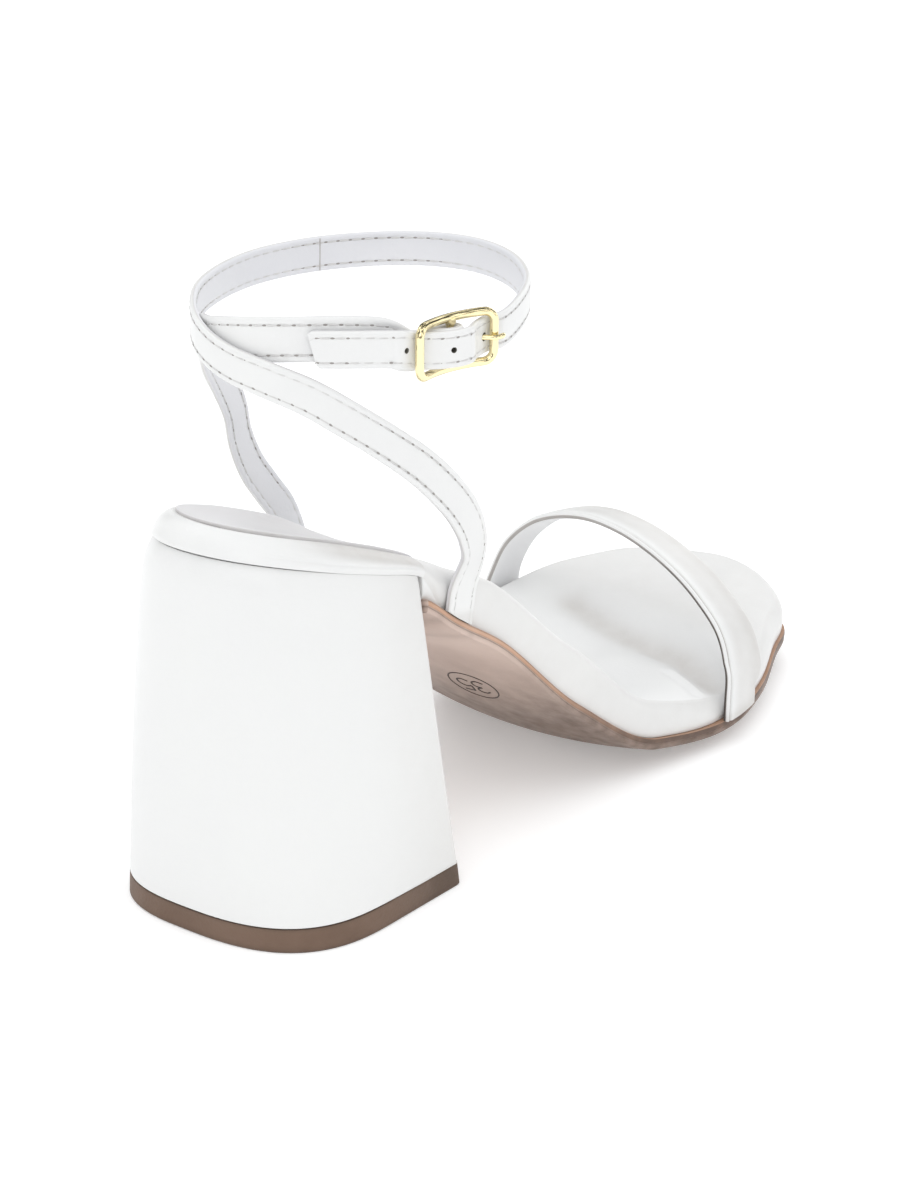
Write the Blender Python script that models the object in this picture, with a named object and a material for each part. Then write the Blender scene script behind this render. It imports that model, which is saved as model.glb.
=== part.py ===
"""Open-toe block-heel sandal for the right foot, with a crossed and buckled ankle strap.

Metres. +X runs from heel to toe, +Y to the inner side of the foot (the wearer's left) and +Z up.
The pieces are modelled with the back of the footbed at x = 0 and the floor at z = 0. At the end
they are moved so that the middle of the underside of their common box is the origin.
"""

import math
from typing import NamedTuple

import bmesh
import bpy
import numpy as np

# Clearance between pieces that touch on the real shoe.
GAP = 0.0003

# Sole: plan, pitch and thickness.
SOLE_LENGTH = 0.2083
BALL_WIDTH = 0.0760
SEAT_RISE = 0.0728
TOE_SPRING = 0.0026
CROWN = 0.0039
EDGE_RISE = 0.0034
OUTSOLE_THICKNESS = 0.0029
WELT = 0.0006
TREAD_WIDTH = 0.985  # the tread's width as a share of the outsole's
EDGE_STEP = 0.20  # share of OUTSOLE_THICKNESS over which the edge widens from the tread

# Footbed: a padded board wrapped in smooth white material.
FOOTBED_WALL = 0.0110
ARCH_RISE = 0.0040
BED_DISH = 0.0046
RIDGE_INSET = 0.0060
FOOT_INSET = 0.0010
SEAT_LET_IN = 0.0045
SOCK_INSET = 0.0066
SOCK_LENGTH = 0.0620
SOCK_THICKNESS = 0.0008
SOCK_CLEARANCE = 0.0004
SOCK_ROUND = 0.22  # share of SOCK_LENGTH that the rounded front end takes

# Heel block and its top piece.
BLOCK_INSET = 0.0005
SHOULDER = 0.0016  # how far the block's top edge is drawn in at the back
SHOULDER_DEPTH = 0.085  # share of the heel's height
BREAST_FROM_BACK = 0.0465
HEEL_BOTTOM_LENGTH = 0.0523
HEEL_BOTTOM_LATERAL = 0.0333
HEEL_BOTTOM_MEDIAL = 0.0261
HEEL_OVERHANG = 0.0021
HEEL_WIDEST = 0.57  # share of HEEL_BOTTOM_LENGTH, from the back
HEEL_SQUARENESS = 2.8
TOP_PIECE_HEIGHT = 0.0051
HEEL_EDGE = 0.0010
FLOOR_CHAMFER = 0.0004

# Ankle straps: the loop that they follow round the ankle, and their sections.
LOOP_LENGTH = 0.0788
LOOP_WIDTH = 0.0608
LOOP_CENTRE_X = 0.0562
LOOP_CENTRE_Y = -0.0014
LOOP_HEIGHT = 0.1234
STRAP_THICKNESS = 0.0016
FRONT_STRAP_WIDTH = 0.0076
FRONT_STRAP_FOOT_WIDTH = 0.0089
FRONT_FOOT_TAPER = 0.0600  # how far up the front strap narrows from its foot
BACK_STRAP_WIDTH = 0.0092
BACK_STRAP_FOOT_WIDTH = 0.0068
BUCKLE_END_WIDTH = 0.0072
LATERAL_ANCHOR_X = 0.0571
LATERAL_ANCHOR_LEAN = 0.0025  # how far forward it leans over FOOTBED_WALL
MEDIAL_ANCHOR_X = 0.0638
TACK_LENGTH = 0.0050
TACK_HEIGHT = 0.0040
ANCHOR_RISE = (0.0, 0.25, 0.58)  # shares of FOOTBED_WALL over which a strap lies flat on it
TAPER_START = 0.0295  # where the back strap narrows to its buckle end, measured from that end
TAPER_LENGTH = 0.0180
FOOT_TAPER = 0.0700  # length over which the back strap widens from its foot

# Buckle.
BUCKLE_LENGTH = 0.0220
BUCKLE_HEIGHT = 0.0122
BUCKLE_WIRE = 0.0018
BUCKLE_CORNER = 0.0026
BUCKLE_ARCH = 0.0021
BAR_RADIUS = 0.00075
PRONG_RADIUS = 0.00055
PRONG_HOLE_RADIUS = 0.0011
PRONG_SLOT_WIDTH = 0.0022
BUCKLE_AROUND = -102.0
BUCKLE_DROP = 0.0035
BUCKLE_RISE = LOOP_HEIGHT - BUCKLE_DROP
BUCKLE_SINK = 0.0007
FOLD_RETURN = 0.0058
HOLE_FROM_BAR = 0.0046

# Toe strap.
TOE_STRAP_WIDTH = 0.0134
TOE_STRAP_THICKNESS = 0.0022
TOE_STRAP_RISE = 0.0330
TOE_STRAP_LATERAL_X = 0.1509
TOE_STRAP_MEDIAL_X = 0.1605
TOE_STRAP_TILT = 9.0

# Fineness of the meshes, and the least width that a share is taken of.
LEAST_WIDTH = 0.0001
SEAT_STATIONS = 11
SOLE_STATIONS = 34
HEEL_STATIONS = 13
STRAP_STEP = 0.0042
STRAP_TURN = 16.0
HEEL_LEVELS = (0.0, 0.03, 0.08, 0.20, 0.35, 0.50, 0.65, 0.80)  # depth shares of the block's rings
OUTSOLE_RINGS = (0.20, 0.55, 0.80)  # shares of the half width
FOOTBED_BASE_RINGS = (0.25, 0.60)  # shares of the way out from the spine
BED_SLOPE_RINGS = (0.0028, 0.0060, 0.0104)  # distances in from the ridge
BED_FLOOR_RINGS = (0.38, 0.16)  # shares of the way out from the spine
SOCK_RINGS = (0.15, 0.55, 1.0)  # shares of the way out from the sock's middle


class Station(NamedTuple):
    """One cross-section of the last: place along SOLE_LENGTH and shares of the sizes it follows."""

    along: float  # share of SOLE_LENGTH
    pitch: float  # share of SEAT_RISE
    spring: float  # share of TOE_SPRING
    crown: float  # share of CROWN
    wall: float  # share of FOOTBED_WALL
    ridge: float  # share of RIDGE_INSET
    arch: float  # share of ARCH_RISE, on the inner side
    dish: float  # share of BED_DISH
    lean: float  # 1 where the seat's wall leans in as a rounded shoulder, 0 where it stands
    slump: float  # share of FOOTBED_WALL that the outer side's ridge lies lower by


LAST = [
    Station(0.00, 0.982, 0.0, 1.0, 0.97, 1.00, 0.00, 0.36, 1.00, 0.00),
    Station(0.05, 0.948, 0.0, 1.0, 0.96, 1.00, 0.00, 0.37, 0.85, 0.00),
    Station(0.12, 0.892, 0.0, 1.0, 0.91, 0.97, 0.00, 0.38, 0.22, 0.00),
    Station(0.17, 0.850, 0.0, 1.0, 0.84, 0.92, 0.00, 0.35, 0.00, 0.00),
    Station(0.22, 0.804, 0.0, 1.0, 0.75, 0.84, 0.04, 0.32, 0.00, 0.00),
    Station(0.27, 0.700, 0.0, 1.0, 0.94, 0.68, 0.16, 0.38, 0.00, -0.05),
    Station(0.35, 0.556, 0.0, 1.0, 1.00, 0.52, 0.42, 0.55, 0.00, -0.28),
    Station(0.47, 0.244, 0.0, 1.0, 1.00, 0.42, 1.00, 0.95, 0.00, -0.33),
    Station(0.59, 0.030, 0.0, 1.0, 1.00, 0.40, 0.64, 1.00, 0.00, 0.27),
    Station(0.69, 0.000, 0.0, 1.0, 1.00, 0.40, 0.17, 1.00, 0.00, 0.60),
    Station(0.79, 0.000, 0.5, 0.6, 1.00, 0.40, 0.00, 0.80, 0.00, 0.60),
    Station(0.89, 0.000, 1.0, 0.2, 1.00, 0.40, 0.00, 0.55, 0.00, 0.50),
    Station(1.00, 0.000, 1.0, 0.0, 1.00, 0.40, 0.00, 0.35, 0.00, 0.20),
]


class Width(NamedTuple):
    """One pair of points of the footbed's outline."""

    along: float  # share of SOLE_LENGTH
    lateral: float  # share of BALL_WIDTH
    medial: float  # share of BALL_WIDTH


OUTLINE = [
    Width(0.008, 0.109, 0.105),
    Width(0.030, 0.202, 0.194),
    Width(0.060, 0.265, 0.254),
    Width(0.120, 0.311, 0.297),
    Width(0.230, 0.331, 0.307),
    Width(0.350, 0.334, 0.296),
    Width(0.470, 0.379, 0.334),
    Width(0.590, 0.450, 0.440),
    Width(0.690, 0.493, 0.496),
    Width(0.790, 0.464, 0.490),
    Width(0.890, 0.353, 0.415),
    Width(0.945, 0.289, 0.340),
    Width(0.972, 0.205, 0.240),
    Width(0.990, 0.095, 0.145),
]
OUTLINE_FRONT_Y = 0.040  # share of BALL_WIDTH: the toe's foremost point lies towards the big toe
SPINE = (0.125, 0.850)  # shares of SOLE_LENGTH: inside ends of the line that rings shrink to


class Rim(NamedTuple):
    """One ring of the footbed's wall."""

    inset: float  # share of the ridge's inset
    leaning: float  # the same where the wall leans in as a shoulder
    height: float  # share of the wall, 0 at its foot and 1 at its ridge


WALL = [
    Rim(0.06, 0.30, 0.10),
    Rim(0.00, 0.42, 0.30),
    Rim(0.02, 0.60, 0.54),
    Rim(0.18, 0.78, 0.77),
    Rim(0.52, 0.92, 0.93),
    Rim(1.00, 1.00, 1.00),
]


class Flare(NamedTuple):
    """How far the heel block has spread from its top outline to its bottom outline."""

    depth: float  # share of the heel's height, from the top down
    lateral: float  # share of the spread on the outer side
    medial: float  # share of the spread on the inner side


FLARE = [
    Flare(0.00, 0.00, 0.00),
    Flare(0.17, 0.16, 0.40),
    Flare(0.35, 0.34, 0.64),
    Flare(0.65, 0.64, 0.88),
    Flare(1.00, 1.00, 1.00),
]


class Wrap(NamedTuple):
    """One point of an ankle strap's middle line."""

    around: float  # degrees round the loop: 0 at the toe side, 90 at the inner side
    out: float  # share of the loop's half length and half width
    rise: float  # share of LOOP_HEIGHT
    lift: float  # in STRAP_THICKNESS, outwards


FRONT_STRAP_RISE = [
    Wrap(-85, 0.895, 0.580, 0),
    Wrap(-89, 0.930, 0.628, 0),
    Wrap(-96, 0.955, 0.680, 0),
    Wrap(-104, 0.965, 0.727, 0),
    Wrap(-113, 0.970, 0.773, 0),
    Wrap(-125, 0.990, 0.823, 0),
    Wrap(-138, 1.000, 0.870, 0),
    Wrap(-151, 1.000, 0.908, 0),
    Wrap(-167, 1.000, 0.934, 0),
    Wrap(-182, 1.000, 0.948, 0),
    Wrap(-195, 1.000, 0.960, 0),
    Wrap(-209, 1.000, 0.974, 0),
    Wrap(-232, 1.000, 0.986, 0),
    Wrap(-250, 1.000, 0.992, 0),
    Wrap(-270, 1.000, 0.996, 0),
    Wrap(-290, 1.000, 0.996, 0),
    Wrap(-308, 1.000, 0.995, 0),
    Wrap(-327, 1.000, 0.995, 0),
    Wrap(-344, 1.000, 0.995, 0),
    Wrap(-361, 1.000, 0.994, 0),
    Wrap(-378, 1.000, 0.990, 0),
    Wrap(-395, 1.000, 0.984, 0),
    Wrap(-411, 1.000, 0.977, 0),
]

FRONT_STRAP_TAIL = [
    Wrap(-489, 1.000, 0.984, 0.15),
    Wrap(-499, 1.000, 0.987, 0.05),
    Wrap(-510, 1.000, 0.988, 0.00),
]
TIP_SLANT = 0.28  # the free tip's slant: length against width
TAIL_RISE = 0.0014  # how far the free end climbs past the buckle

BACK_STRAP_RISE = [
    Wrap(81, 0.900, 0.550, 0.0),
    Wrap(88, 0.915, 0.600, 0.0),
    Wrap(95, 0.935, 0.650, -0.1),
    Wrap(100, 0.960, 0.708, -0.3),
    Wrap(103, 0.980, 0.766, -0.7),
    Wrap(111, 1.000, 0.830, -1.1),
    Wrap(123, 1.000, 0.888, -1.2),
    Wrap(140, 1.000, 0.948, -1.2),
    Wrap(160, 1.000, 0.970, -1.2),
    Wrap(182, 1.000, 0.989, -1.2),
    Wrap(203, 1.000, 0.999, -1.2),
    Wrap(221, 1.000, 1.000, -1.2),
    Wrap(235, 1.000, 0.990, -1.4),
]
CROSSING_AROUND = 158.0
CROSSING_RISE = 0.968  # share of LOOP_HEIGHT


class Arch(NamedTuple):
    """One point of the toe strap's middle line."""

    across: float  # -1 at the outer foot, 1 at the inner foot
    rise: float  # share of TOE_STRAP_RISE
    forward: float  # share of the distance between the two feet along the shoe
    tilt: float  # share of TOE_STRAP_TILT


TOE_STRAP = [
    Arch(-0.975, 0.34, 0.20, 0.15),
    Arch(-0.885, 0.54, 0.38, 0.42),
    Arch(-0.700, 0.71, 0.62, 0.70),
    Arch(-0.500, 0.84, 0.82, 0.85),
    Arch(-0.250, 0.955, 1.00, 0.95),
    Arch(0.000, 1.025, 1.15, 1.00),
    Arch(0.260, 1.045, 1.26, 1.00),
    Arch(0.500, 0.995, 1.31, 1.00),
    Arch(0.700, 0.89, 1.31, 1.00),
    Arch(0.880, 0.69, 1.24, 0.80),
    Arch(0.975, 0.44, 1.12, 0.40),
]


class Corner(NamedTuple):
    """One corner of a strap's section."""

    across: float  # share of the half width
    out: float  # share of the half thickness


FLAT_SECTION = [
    Corner(-1.00, 0.45),
    Corner(-0.88, 1.00),
    Corner(0.88, 1.00),
    Corner(1.00, 0.45),
    Corner(1.00, -0.45),
    Corner(0.88, -1.00),
    Corner(-0.88, -1.00),
    Corner(-1.00, -0.45),
]

# The toe strap has a rolled rear edge behind a sewn channel, and a crowned face before it.
ROLLED_SECTION = [
    Corner(-1.00, 0.10),
    Corner(-0.93, 1.00),
    Corner(-0.80, 1.00),
    Corner(-0.72, 0.35),
    Corner(-0.60, 0.75),
    Corner(0.00, 1.00),
    Corner(0.78, 0.80),
    Corner(1.00, 0.10),
    Corner(0.86, -0.90),
    Corner(0.00, -1.00),
    Corner(-0.86, -1.00),
]

SIDES = {"lateral": -1.0, "medial": 1.0}


class Foot(NamedTuple):
    """Where a strap's end stands on the outsole."""

    side: str
    place: float
    width: float
    thickness: float
    shelf: float  # how far the outsole stands out under it, as a share of its thickness


FEET = [
    Foot("lateral", LATERAL_ANCHOR_X, FRONT_STRAP_FOOT_WIDTH, STRAP_THICKNESS, 0.70),
    Foot("medial", MEDIAL_ANCHOR_X, BACK_STRAP_FOOT_WIDTH, STRAP_THICKNESS, 0.70),
    Foot("lateral", TOE_STRAP_LATERAL_X, TOE_STRAP_WIDTH, TOE_STRAP_THICKNESS, 0.35),
    Foot("medial", TOE_STRAP_MEDIAL_X, TOE_STRAP_WIDTH, TOE_STRAP_THICKNESS, 0.35),
]


def unit(vectors):
    """Vectors of length 1, along the last axis."""
    return vectors / np.linalg.norm(vectors, axis=-1, keepdims=True)


def smooth(stations, values, where):
    """A monotone cubic through the values at rising stations, read at the given places."""
    x, y = np.asarray(stations, float), np.asarray(values, float)
    step, secant = np.diff(x), np.diff(y) / np.diff(x)
    slope = np.concatenate([secant[:1], np.zeros(len(x) - 2), secant[-1:]])
    for i in range(1, len(x) - 1):
        if secant[i - 1] * secant[i] > 0:
            before, after = 2 * step[i] + step[i - 1], step[i] + 2 * step[i - 1]
            slope[i] = (before + after) / (before / secant[i - 1] + after / secant[i])
    at = np.clip(np.asarray(where, float), x[0], x[-1])
    i = np.clip(np.searchsorted(x, at, side="right") - 1, 0, len(x) - 2)
    t = (at - x[i]) / step[i]
    start = (1 + 2 * t) * (1 - t) ** 2 * y[i] + t * (1 - t) ** 2 * step[i] * slope[i]
    end = t**2 * (3 - 2 * t) * y[i + 1] - t**2 * (1 - t) * step[i] * slope[i + 1]
    return start + end


def curve(points, before=None, after=None, per_span=16):
    """A dense smooth curve through the points. Distances along it use the first three columns."""
    points = np.asarray(points, float)
    first = 2 * points[0] - points[1] if before is None else before
    last = 2 * points[-1] - points[-2] if after is None else after
    all_points = np.vstack([first, points, last])
    knots = np.cumsum(np.sqrt(np.linalg.norm(np.diff(all_points[:, :3], axis=0), axis=1)))
    knots = np.concatenate([[0.0], knots])
    spans = np.diff(knots)[:, None]
    secants = np.diff(all_points, axis=0) / spans
    slopes = (secants[:-1] * spans[1:] + secants[1:] * spans[:-1]) / (spans[1:] + spans[:-1])
    made = []
    for i in range(len(points) - 1):
        t = np.linspace(0, 1, per_span, endpoint=False)[:, None]
        span = spans[i + 1]
        made.append(
            (1 + 2 * t) * (1 - t) ** 2 * points[i]
            + t * (1 - t) ** 2 * span * slopes[i]
            + t**2 * (3 - 2 * t) * points[i + 1]
            - t**2 * (1 - t) * span * slopes[i + 1]
        )
    return np.vstack([*made, points[-1:]])


def resample(path, measure, count):
    """Rows of the path at even steps of a rising measure along it."""
    at = np.linspace(measure[0], measure[-1], count)
    return np.stack([np.interp(at, measure, column) for column in path.T], axis=1)


def lengths(path):
    """Distance along the path to each of its rows."""
    steps = np.linalg.norm(np.diff(path[:, :3], axis=0), axis=1)
    return np.concatenate([[0.0], np.cumsum(steps)])


def outline_side(side):
    """The footbed's outline on one side as a dense curve from the back's middle to the toe's."""
    sign = SIDES[side]
    other = -sign
    other_side = "medial" if side == "lateral" else "lateral"

    def point(row, name, sign_of_side):
        return [row.along * SOLE_LENGTH, sign_of_side * getattr(row, name) * BALL_WIDTH, 0.0]

    front = [SOLE_LENGTH, OUTLINE_FRONT_Y * BALL_WIDTH, 0.0]
    points = [[0.0, 0.0, 0.0], *(point(row, side, sign) for row in OUTLINE), front]
    before = point(OUTLINE[0], other_side, other)
    after = point(OUTLINE[-1], other_side, other)
    return curve(points, before, after)[:, :2]


OUTLINES = {side: outline_side(side) for side in SIDES}


def half_width(x, side):
    """Width of the footbed from the middle line to one side."""
    path = OUTLINES[side]
    return np.interp(x, path[:, 0], path[:, 1] * SIDES[side])


def station(x, name):
    """One column of the last at a place along the sole."""
    column = [getattr(row, name) for row in LAST]
    return smooth([row.along * SOLE_LENGTH for row in LAST], column, x)


def tread_edge(x):
    """Height of the outsole's lower edge."""
    return EDGE_RISE + SEAT_RISE * station(x, "pitch") + TOE_SPRING * station(x, "spring")


def block_top(x):
    """Height of the heel block's top, which is let into the footbed."""
    return tread_edge(x) + OUTSOLE_THICKNESS + SEAT_LET_IN


def across(x, y):
    """0 on the middle line and 1 at the outline, measured straight across the sole."""
    width = np.where(y < 0, half_width(x, "lateral"), half_width(x, "medial"))
    return np.clip(np.abs(y) / np.maximum(width, LEAST_WIDTH), 0.0, 1.0)


def sag(x, y):
    """How far the sole's crown lowers its middle."""
    return CROWN * station(x, "crown") * (1 - across(x, y) ** 2)


def spine_point(x):
    """The point of the middle line that a point of the outline shrinks towards."""
    return np.clip(x, SPINE[0] * SOLE_LENGTH, SPINE[1] * SOLE_LENGTH)


def drawn_in(points, inset):
    """Plan points moved by a distance towards the spine; a negative distance moves them out."""
    spine = np.stack([spine_point(points[:, 0]), np.zeros(len(points))], axis=1)
    reach = np.linalg.norm(points - spine, axis=1, keepdims=True)
    return spine + (points - spine) * (1 - np.reshape(inset, (-1, 1)) / reach)


def shrunk(points, share):
    """Plan points moved to a share of their distance from the spine."""
    spine = np.stack([spine_point(points[:, 0]), np.zeros(len(points))], axis=1)
    return spine + (points - spine) * share


def reach_share(x, y):
    """(share, reach): how far out a point lies between the spine and the outline, and that reach."""
    spine = spine_point(x)
    distance = np.hypot(x - spine, y)
    share, reach = np.zeros(len(x)), np.ones(len(x))
    for side, sign in SIDES.items():
        path = OUTLINES[side]
        on_side = (y * sign > 0) | ((y == 0) & (sign > 0))
        straight = on_side & (spine == x)
        reach[straight] = half_width(x[straight], side)
        for end in (0, 1):
            pivot = SPINE[end] * SOLE_LENGTH
            beyond = path[path[:, 0] < pivot] if end == 0 else path[path[:, 0] > pivot]
            angle = np.arctan2(beyond[:, 1] * sign, np.abs(beyond[:, 0] - pivot))
            order = np.argsort(angle)
            far = np.hypot(beyond[:, 0] - pivot, beyond[:, 1])
            here = on_side & ((x < pivot) if end == 0 else (x > pivot))
            at = np.arctan2(np.abs(y[here]), np.abs(x[here] - pivot))
            reach[here] = np.interp(at, angle[order], far[order])
    return distance / reach, reach


def ridge_inset(x):
    """How far in from the outline the footbed's ridge lies."""
    return RIDGE_INSET * station(x, "ridge")


def ridge_height(x, y):
    """Height of the footbed's ridge, raised along the inner arch and slumped on the outer side."""
    inner = np.clip(y / np.maximum(half_width(x, "medial"), LEAST_WIDTH), 0.0, 1.0)
    outer = np.clip(-y / np.maximum(half_width(x, "lateral"), LEAST_WIDTH), 0.0, 1.0)
    wall = FOOTBED_WALL * (station(x, "wall") - station(x, "slump") * outer**4)
    wall = wall + ARCH_RISE * station(x, "arch") * inner**1.5
    return tread_edge(x) + OUTSOLE_THICKNESS + wall


def bed_height(x, y):
    """Height of the dished bed inside the ridge."""
    share, reach = reach_share(x, y)
    ridge = 1 - ridge_inset(x) / reach
    hollow = np.clip(1 - (share / ridge) ** 2, 0.0, 1.0)
    return ridge_height(x, y) - BED_DISH * station(x, "dish") * hollow


def closed_ring(lateral, medial):
    """A loop of plan points: the back's middle, the outer side, the toe's middle, the inner side."""
    return np.vstack([lateral, medial[-2:0:-1]])


def join_rings(mesh, low, high):
    """Fills the band between two rings of the same count."""
    count = len(low)
    for i in range(count):
        j = (i + 1) % count
        mesh.faces.new([low[i], low[j], high[j], high[i]])


def skin(name, rings):
    """A closed mesh through rings of the same count, each filled across where the stack ends."""
    mesh = bmesh.new()
    loops = [[mesh.verts.new(point) for point in ring] for ring in rings]
    count = len(loops[0])
    half = count // 2
    for low, high in zip(loops[:-1], loops[1:]):
        join_rings(mesh, low, high)
    for loop in (loops[0], loops[-1]):
        mesh.faces.new([loop[0], loop[1], loop[count - 1]])
        for i in range(1, half - 1):
            mesh.faces.new([loop[i], loop[i + 1], loop[count - i - 1], loop[count - i]])
        mesh.faces.new([loop[half - 1], loop[half], loop[half + 1]])
    return finished(name, mesh)


def finished(name, mesh, smooth_angle=40.0):
    """An object with its normals facing out, shaded smooth except at its sharp edges."""
    bmesh.ops.recalc_face_normals(mesh, faces=mesh.faces)
    if mesh.calc_volume(signed=True) < 0:
        bmesh.ops.reverse_faces(mesh, faces=mesh.faces)
    data = bpy.data.meshes.new(name)
    mesh.to_mesh(data)
    mesh.free()
    data.shade_smooth()
    data.set_sharp_from_angle(angle=math.radians(smooth_angle))
    made = bpy.data.objects.new(name, data)
    bpy.context.scene.collection.objects.link(made)
    return made


def with_height(points, heights):
    """Plan points with a height each."""
    return np.column_stack([points, heights])


def between(path, start, end, count):
    """Even points of a plan curve between two places along the sole, both of them kept."""
    ends = []
    for x in (start, end):
        ends.append([x, np.interp(x, path[:, 0], path[:, 1])])
    inside = path[(path[:, 0] > start) & (path[:, 0] < end)]
    part = np.vstack([ends[0], inside, ends[1]])
    return resample(part, lengths(part), count)


def breast_x(z):
    """Place of the heel's breast face at a height."""
    bottom = HEEL_BOTTOM_LENGTH - HEEL_OVERHANG
    top = block_top(np.array(BREAST_FROM_BACK))
    return bottom + (BREAST_FROM_BACK - bottom) * z / top


def outsole_back():
    """Place where the outsole butts against the breast face."""
    low = tread_edge(np.array(BREAST_FROM_BACK)) - CROWN
    return float(breast_x(low)) + GAP


def footbed_step():
    """Place where the footbed's underside drops from the block's top to the outsole."""
    top = tread_edge(np.array(BREAST_FROM_BACK)) + OUTSOLE_THICKNESS
    return float(breast_x(top)) + GAP


def heel_side(side, depth, spread):
    """The heel's plan on one side: its length grows evenly with depth, its width with the spread."""
    sign = SIDES[side]
    top = between(OUTLINES[side], 0.0, BREAST_FROM_BACK - HEEL_EDGE, HEEL_STATIONS)
    top = drawn_in(top, BLOCK_INSET)
    width = HEEL_BOTTOM_LATERAL if side == "lateral" else HEEL_BOTTOM_MEDIAL
    start, end = -HEEL_OVERHANG, HEEL_BOTTOM_LENGTH - HEEL_OVERHANG
    rear = HEEL_WIDEST * HEEL_BOTTOM_LENGTH
    turn = np.linspace(0, math.pi / 2, 61)
    power = 2 / HEEL_SQUARENESS
    back_x = start + rear - rear * np.cos(turn) ** power
    back_y = sign * width * np.sin(turn) ** power
    whole = np.vstack([np.stack([back_x, back_y], axis=1), [[end - HEEL_EDGE, sign * width]]])
    bottom = resample(whole, lengths(whole), HEEL_STATIONS)
    top_corner = [BREAST_FROM_BACK, top[-1, 1] - sign * HEEL_EDGE]
    bottom_corner = [end, sign * (width - HEEL_EDGE)]
    top = np.vstack([top, [top_corner], [[BREAST_FROM_BACK, 0.0]]])
    bottom = np.vstack([bottom, [bottom_corner], [[end, 0.0]]])
    return top + (bottom - top) * np.array([depth, spread])


def heel_ring(depth):
    """A level of the heel, from its top (0) to the floor (1)."""
    shares = [
        smooth([row.depth for row in FLARE], [getattr(row, side) for row in FLARE], depth)
        for side in SIDES
    ]
    plan = closed_ring(*(heel_side(side, depth, share) for side, share in zip(SIDES, shares)))
    shoulder = SHOULDER * max(1 - depth / SHOULDER_DEPTH, 0.0) ** 2
    lean = station(plan[:, 0], "lean")
    seat = lean > 0
    plan[seat] = drawn_in(plan[seat], shoulder * lean[seat])
    return with_height(plan, (1 - depth) * block_top(np.maximum(plan[:, 0], 0.0)))


def heel_depth(z):
    """Depth share at which the heel's back stands at a height."""
    return 1 - z / float(block_top(np.array(0.0)))


def level_ring(z):
    """A level cut of the heel close to the floor."""
    ring = heel_ring(heel_depth(z))
    ring[:, 2] = z
    return ring


def make_heel_block():
    """The heel block, from its let-in top down to the top piece."""
    rings = [heel_ring(depth) for depth in HEEL_LEVELS]
    return skin("heel_block", [*rings, level_ring(TOP_PIECE_HEIGHT + GAP)])


def make_heel_top_piece():
    """The hard-wearing piece under the heel, with a small chamfer at the floor."""
    floor = level_ring(0.0)
    middle = floor[:, :2].mean(axis=0)
    inner = floor.copy()
    inner[:, :2] += unit(middle - floor[:, :2]) * FLOOR_CHAMFER
    return skin("heel_top_piece", [level_ring(TOP_PIECE_HEIGHT), level_ring(FLOOR_CHAMFER), inner])


def welt(x, side):
    """How far the outsole stands out past the footbed: more under a strap's end."""
    out = np.full(len(x), WELT)
    for foot in FEET:
        if foot.side == side:
            spread = (x - foot.place) / (0.75 * foot.width)
            out += foot.shelf * foot.thickness * np.exp(-(spread**2))
    return out


def make_outsole():
    """The thin outsole, from the heel's breast to the toe, crowned across and flat at the ball."""
    start = outsole_back()
    sides = []
    for side in SIDES:
        path = between(OUTLINES[side], start, SOLE_LENGTH, SOLE_STATIONS)
        grown = drawn_in(path, -welt(path[:, 0], side))
        grown[0, 0] = start
        sides.append(np.vstack([[[start, 0.0]], grown]))
    front = (sides[0][-1] + sides[1][-1]) / 2
    sides[0][-1] = sides[1][-1] = front
    edge = closed_ring(*sides)

    def under(points):
        return with_height(points, np.maximum(tread_edge(points[:, 0]) - sag(*points.T), 0.0))

    def over(points):
        return with_height(points, tread_edge(points[:, 0]) + OUTSOLE_THICKNESS - sag(*points.T))

    def narrowed(share):
        points = edge.copy()
        points[:, 1] *= share
        return points

    tread = under(narrowed(TREAD_WIDTH))
    rings = [under(narrowed(share)) for share in OUTSOLE_RINGS]
    rings += [tread, with_height(edge, tread[:, 2] + EDGE_STEP * OUTSOLE_THICKNESS), over(edge)]
    rings += [over(narrowed(share)) for share in reversed(OUTSOLE_RINGS)]
    return skin("outsole", rings)


def make_footbed():
    """The padded footbed: a wrapped wall, a soft ridge, and a dished bed."""
    step = footbed_step()
    sides = []
    for side in SIDES:
        seat = between(OUTLINES[side], 0.0, step, SEAT_STATIONS)
        fore = between(OUTLINES[side], step + GAP, SOLE_LENGTH, SOLE_STATIONS)
        sides.append(np.vstack([seat, fore]))
    edge = closed_ring(*sides)
    on_block = edge[:, 0] < step + GAP / 2

    def base(points):
        on_outsole = tread_edge(points[:, 0]) + OUTSOLE_THICKNESS - sag(*points.T)
        return np.where(on_block, block_top(edge[:, 0]), on_outsole) + GAP

    inset = ridge_inset(edge[:, 0])
    insides = [shrunk(edge, share) for share in FOOTBED_BASE_RINGS]
    lean = station(edge[:, 0], "lean")
    insides.append(drawn_in(edge, FOOT_INSET + WALL[0].leaning * lean * inset))
    rings = [with_height(points, base(points)) for points in insides]
    low = base(edge)
    for row in WALL:
        points = drawn_in(edge, (row.inset + (row.leaning - row.inset) * lean) * inset)
        high = ridge_height(*points.T)
        rings.append(with_height(points, low + (high - low) * row.height))
    floors = [drawn_in(edge, inset + further) for further in BED_SLOPE_RINGS]
    floors += [shrunk(edge, share) for share in BED_FLOOR_RINGS]
    rings += [with_height(points, bed_height(*points.T)) for points in floors]
    return skin("footbed", rings)


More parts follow.
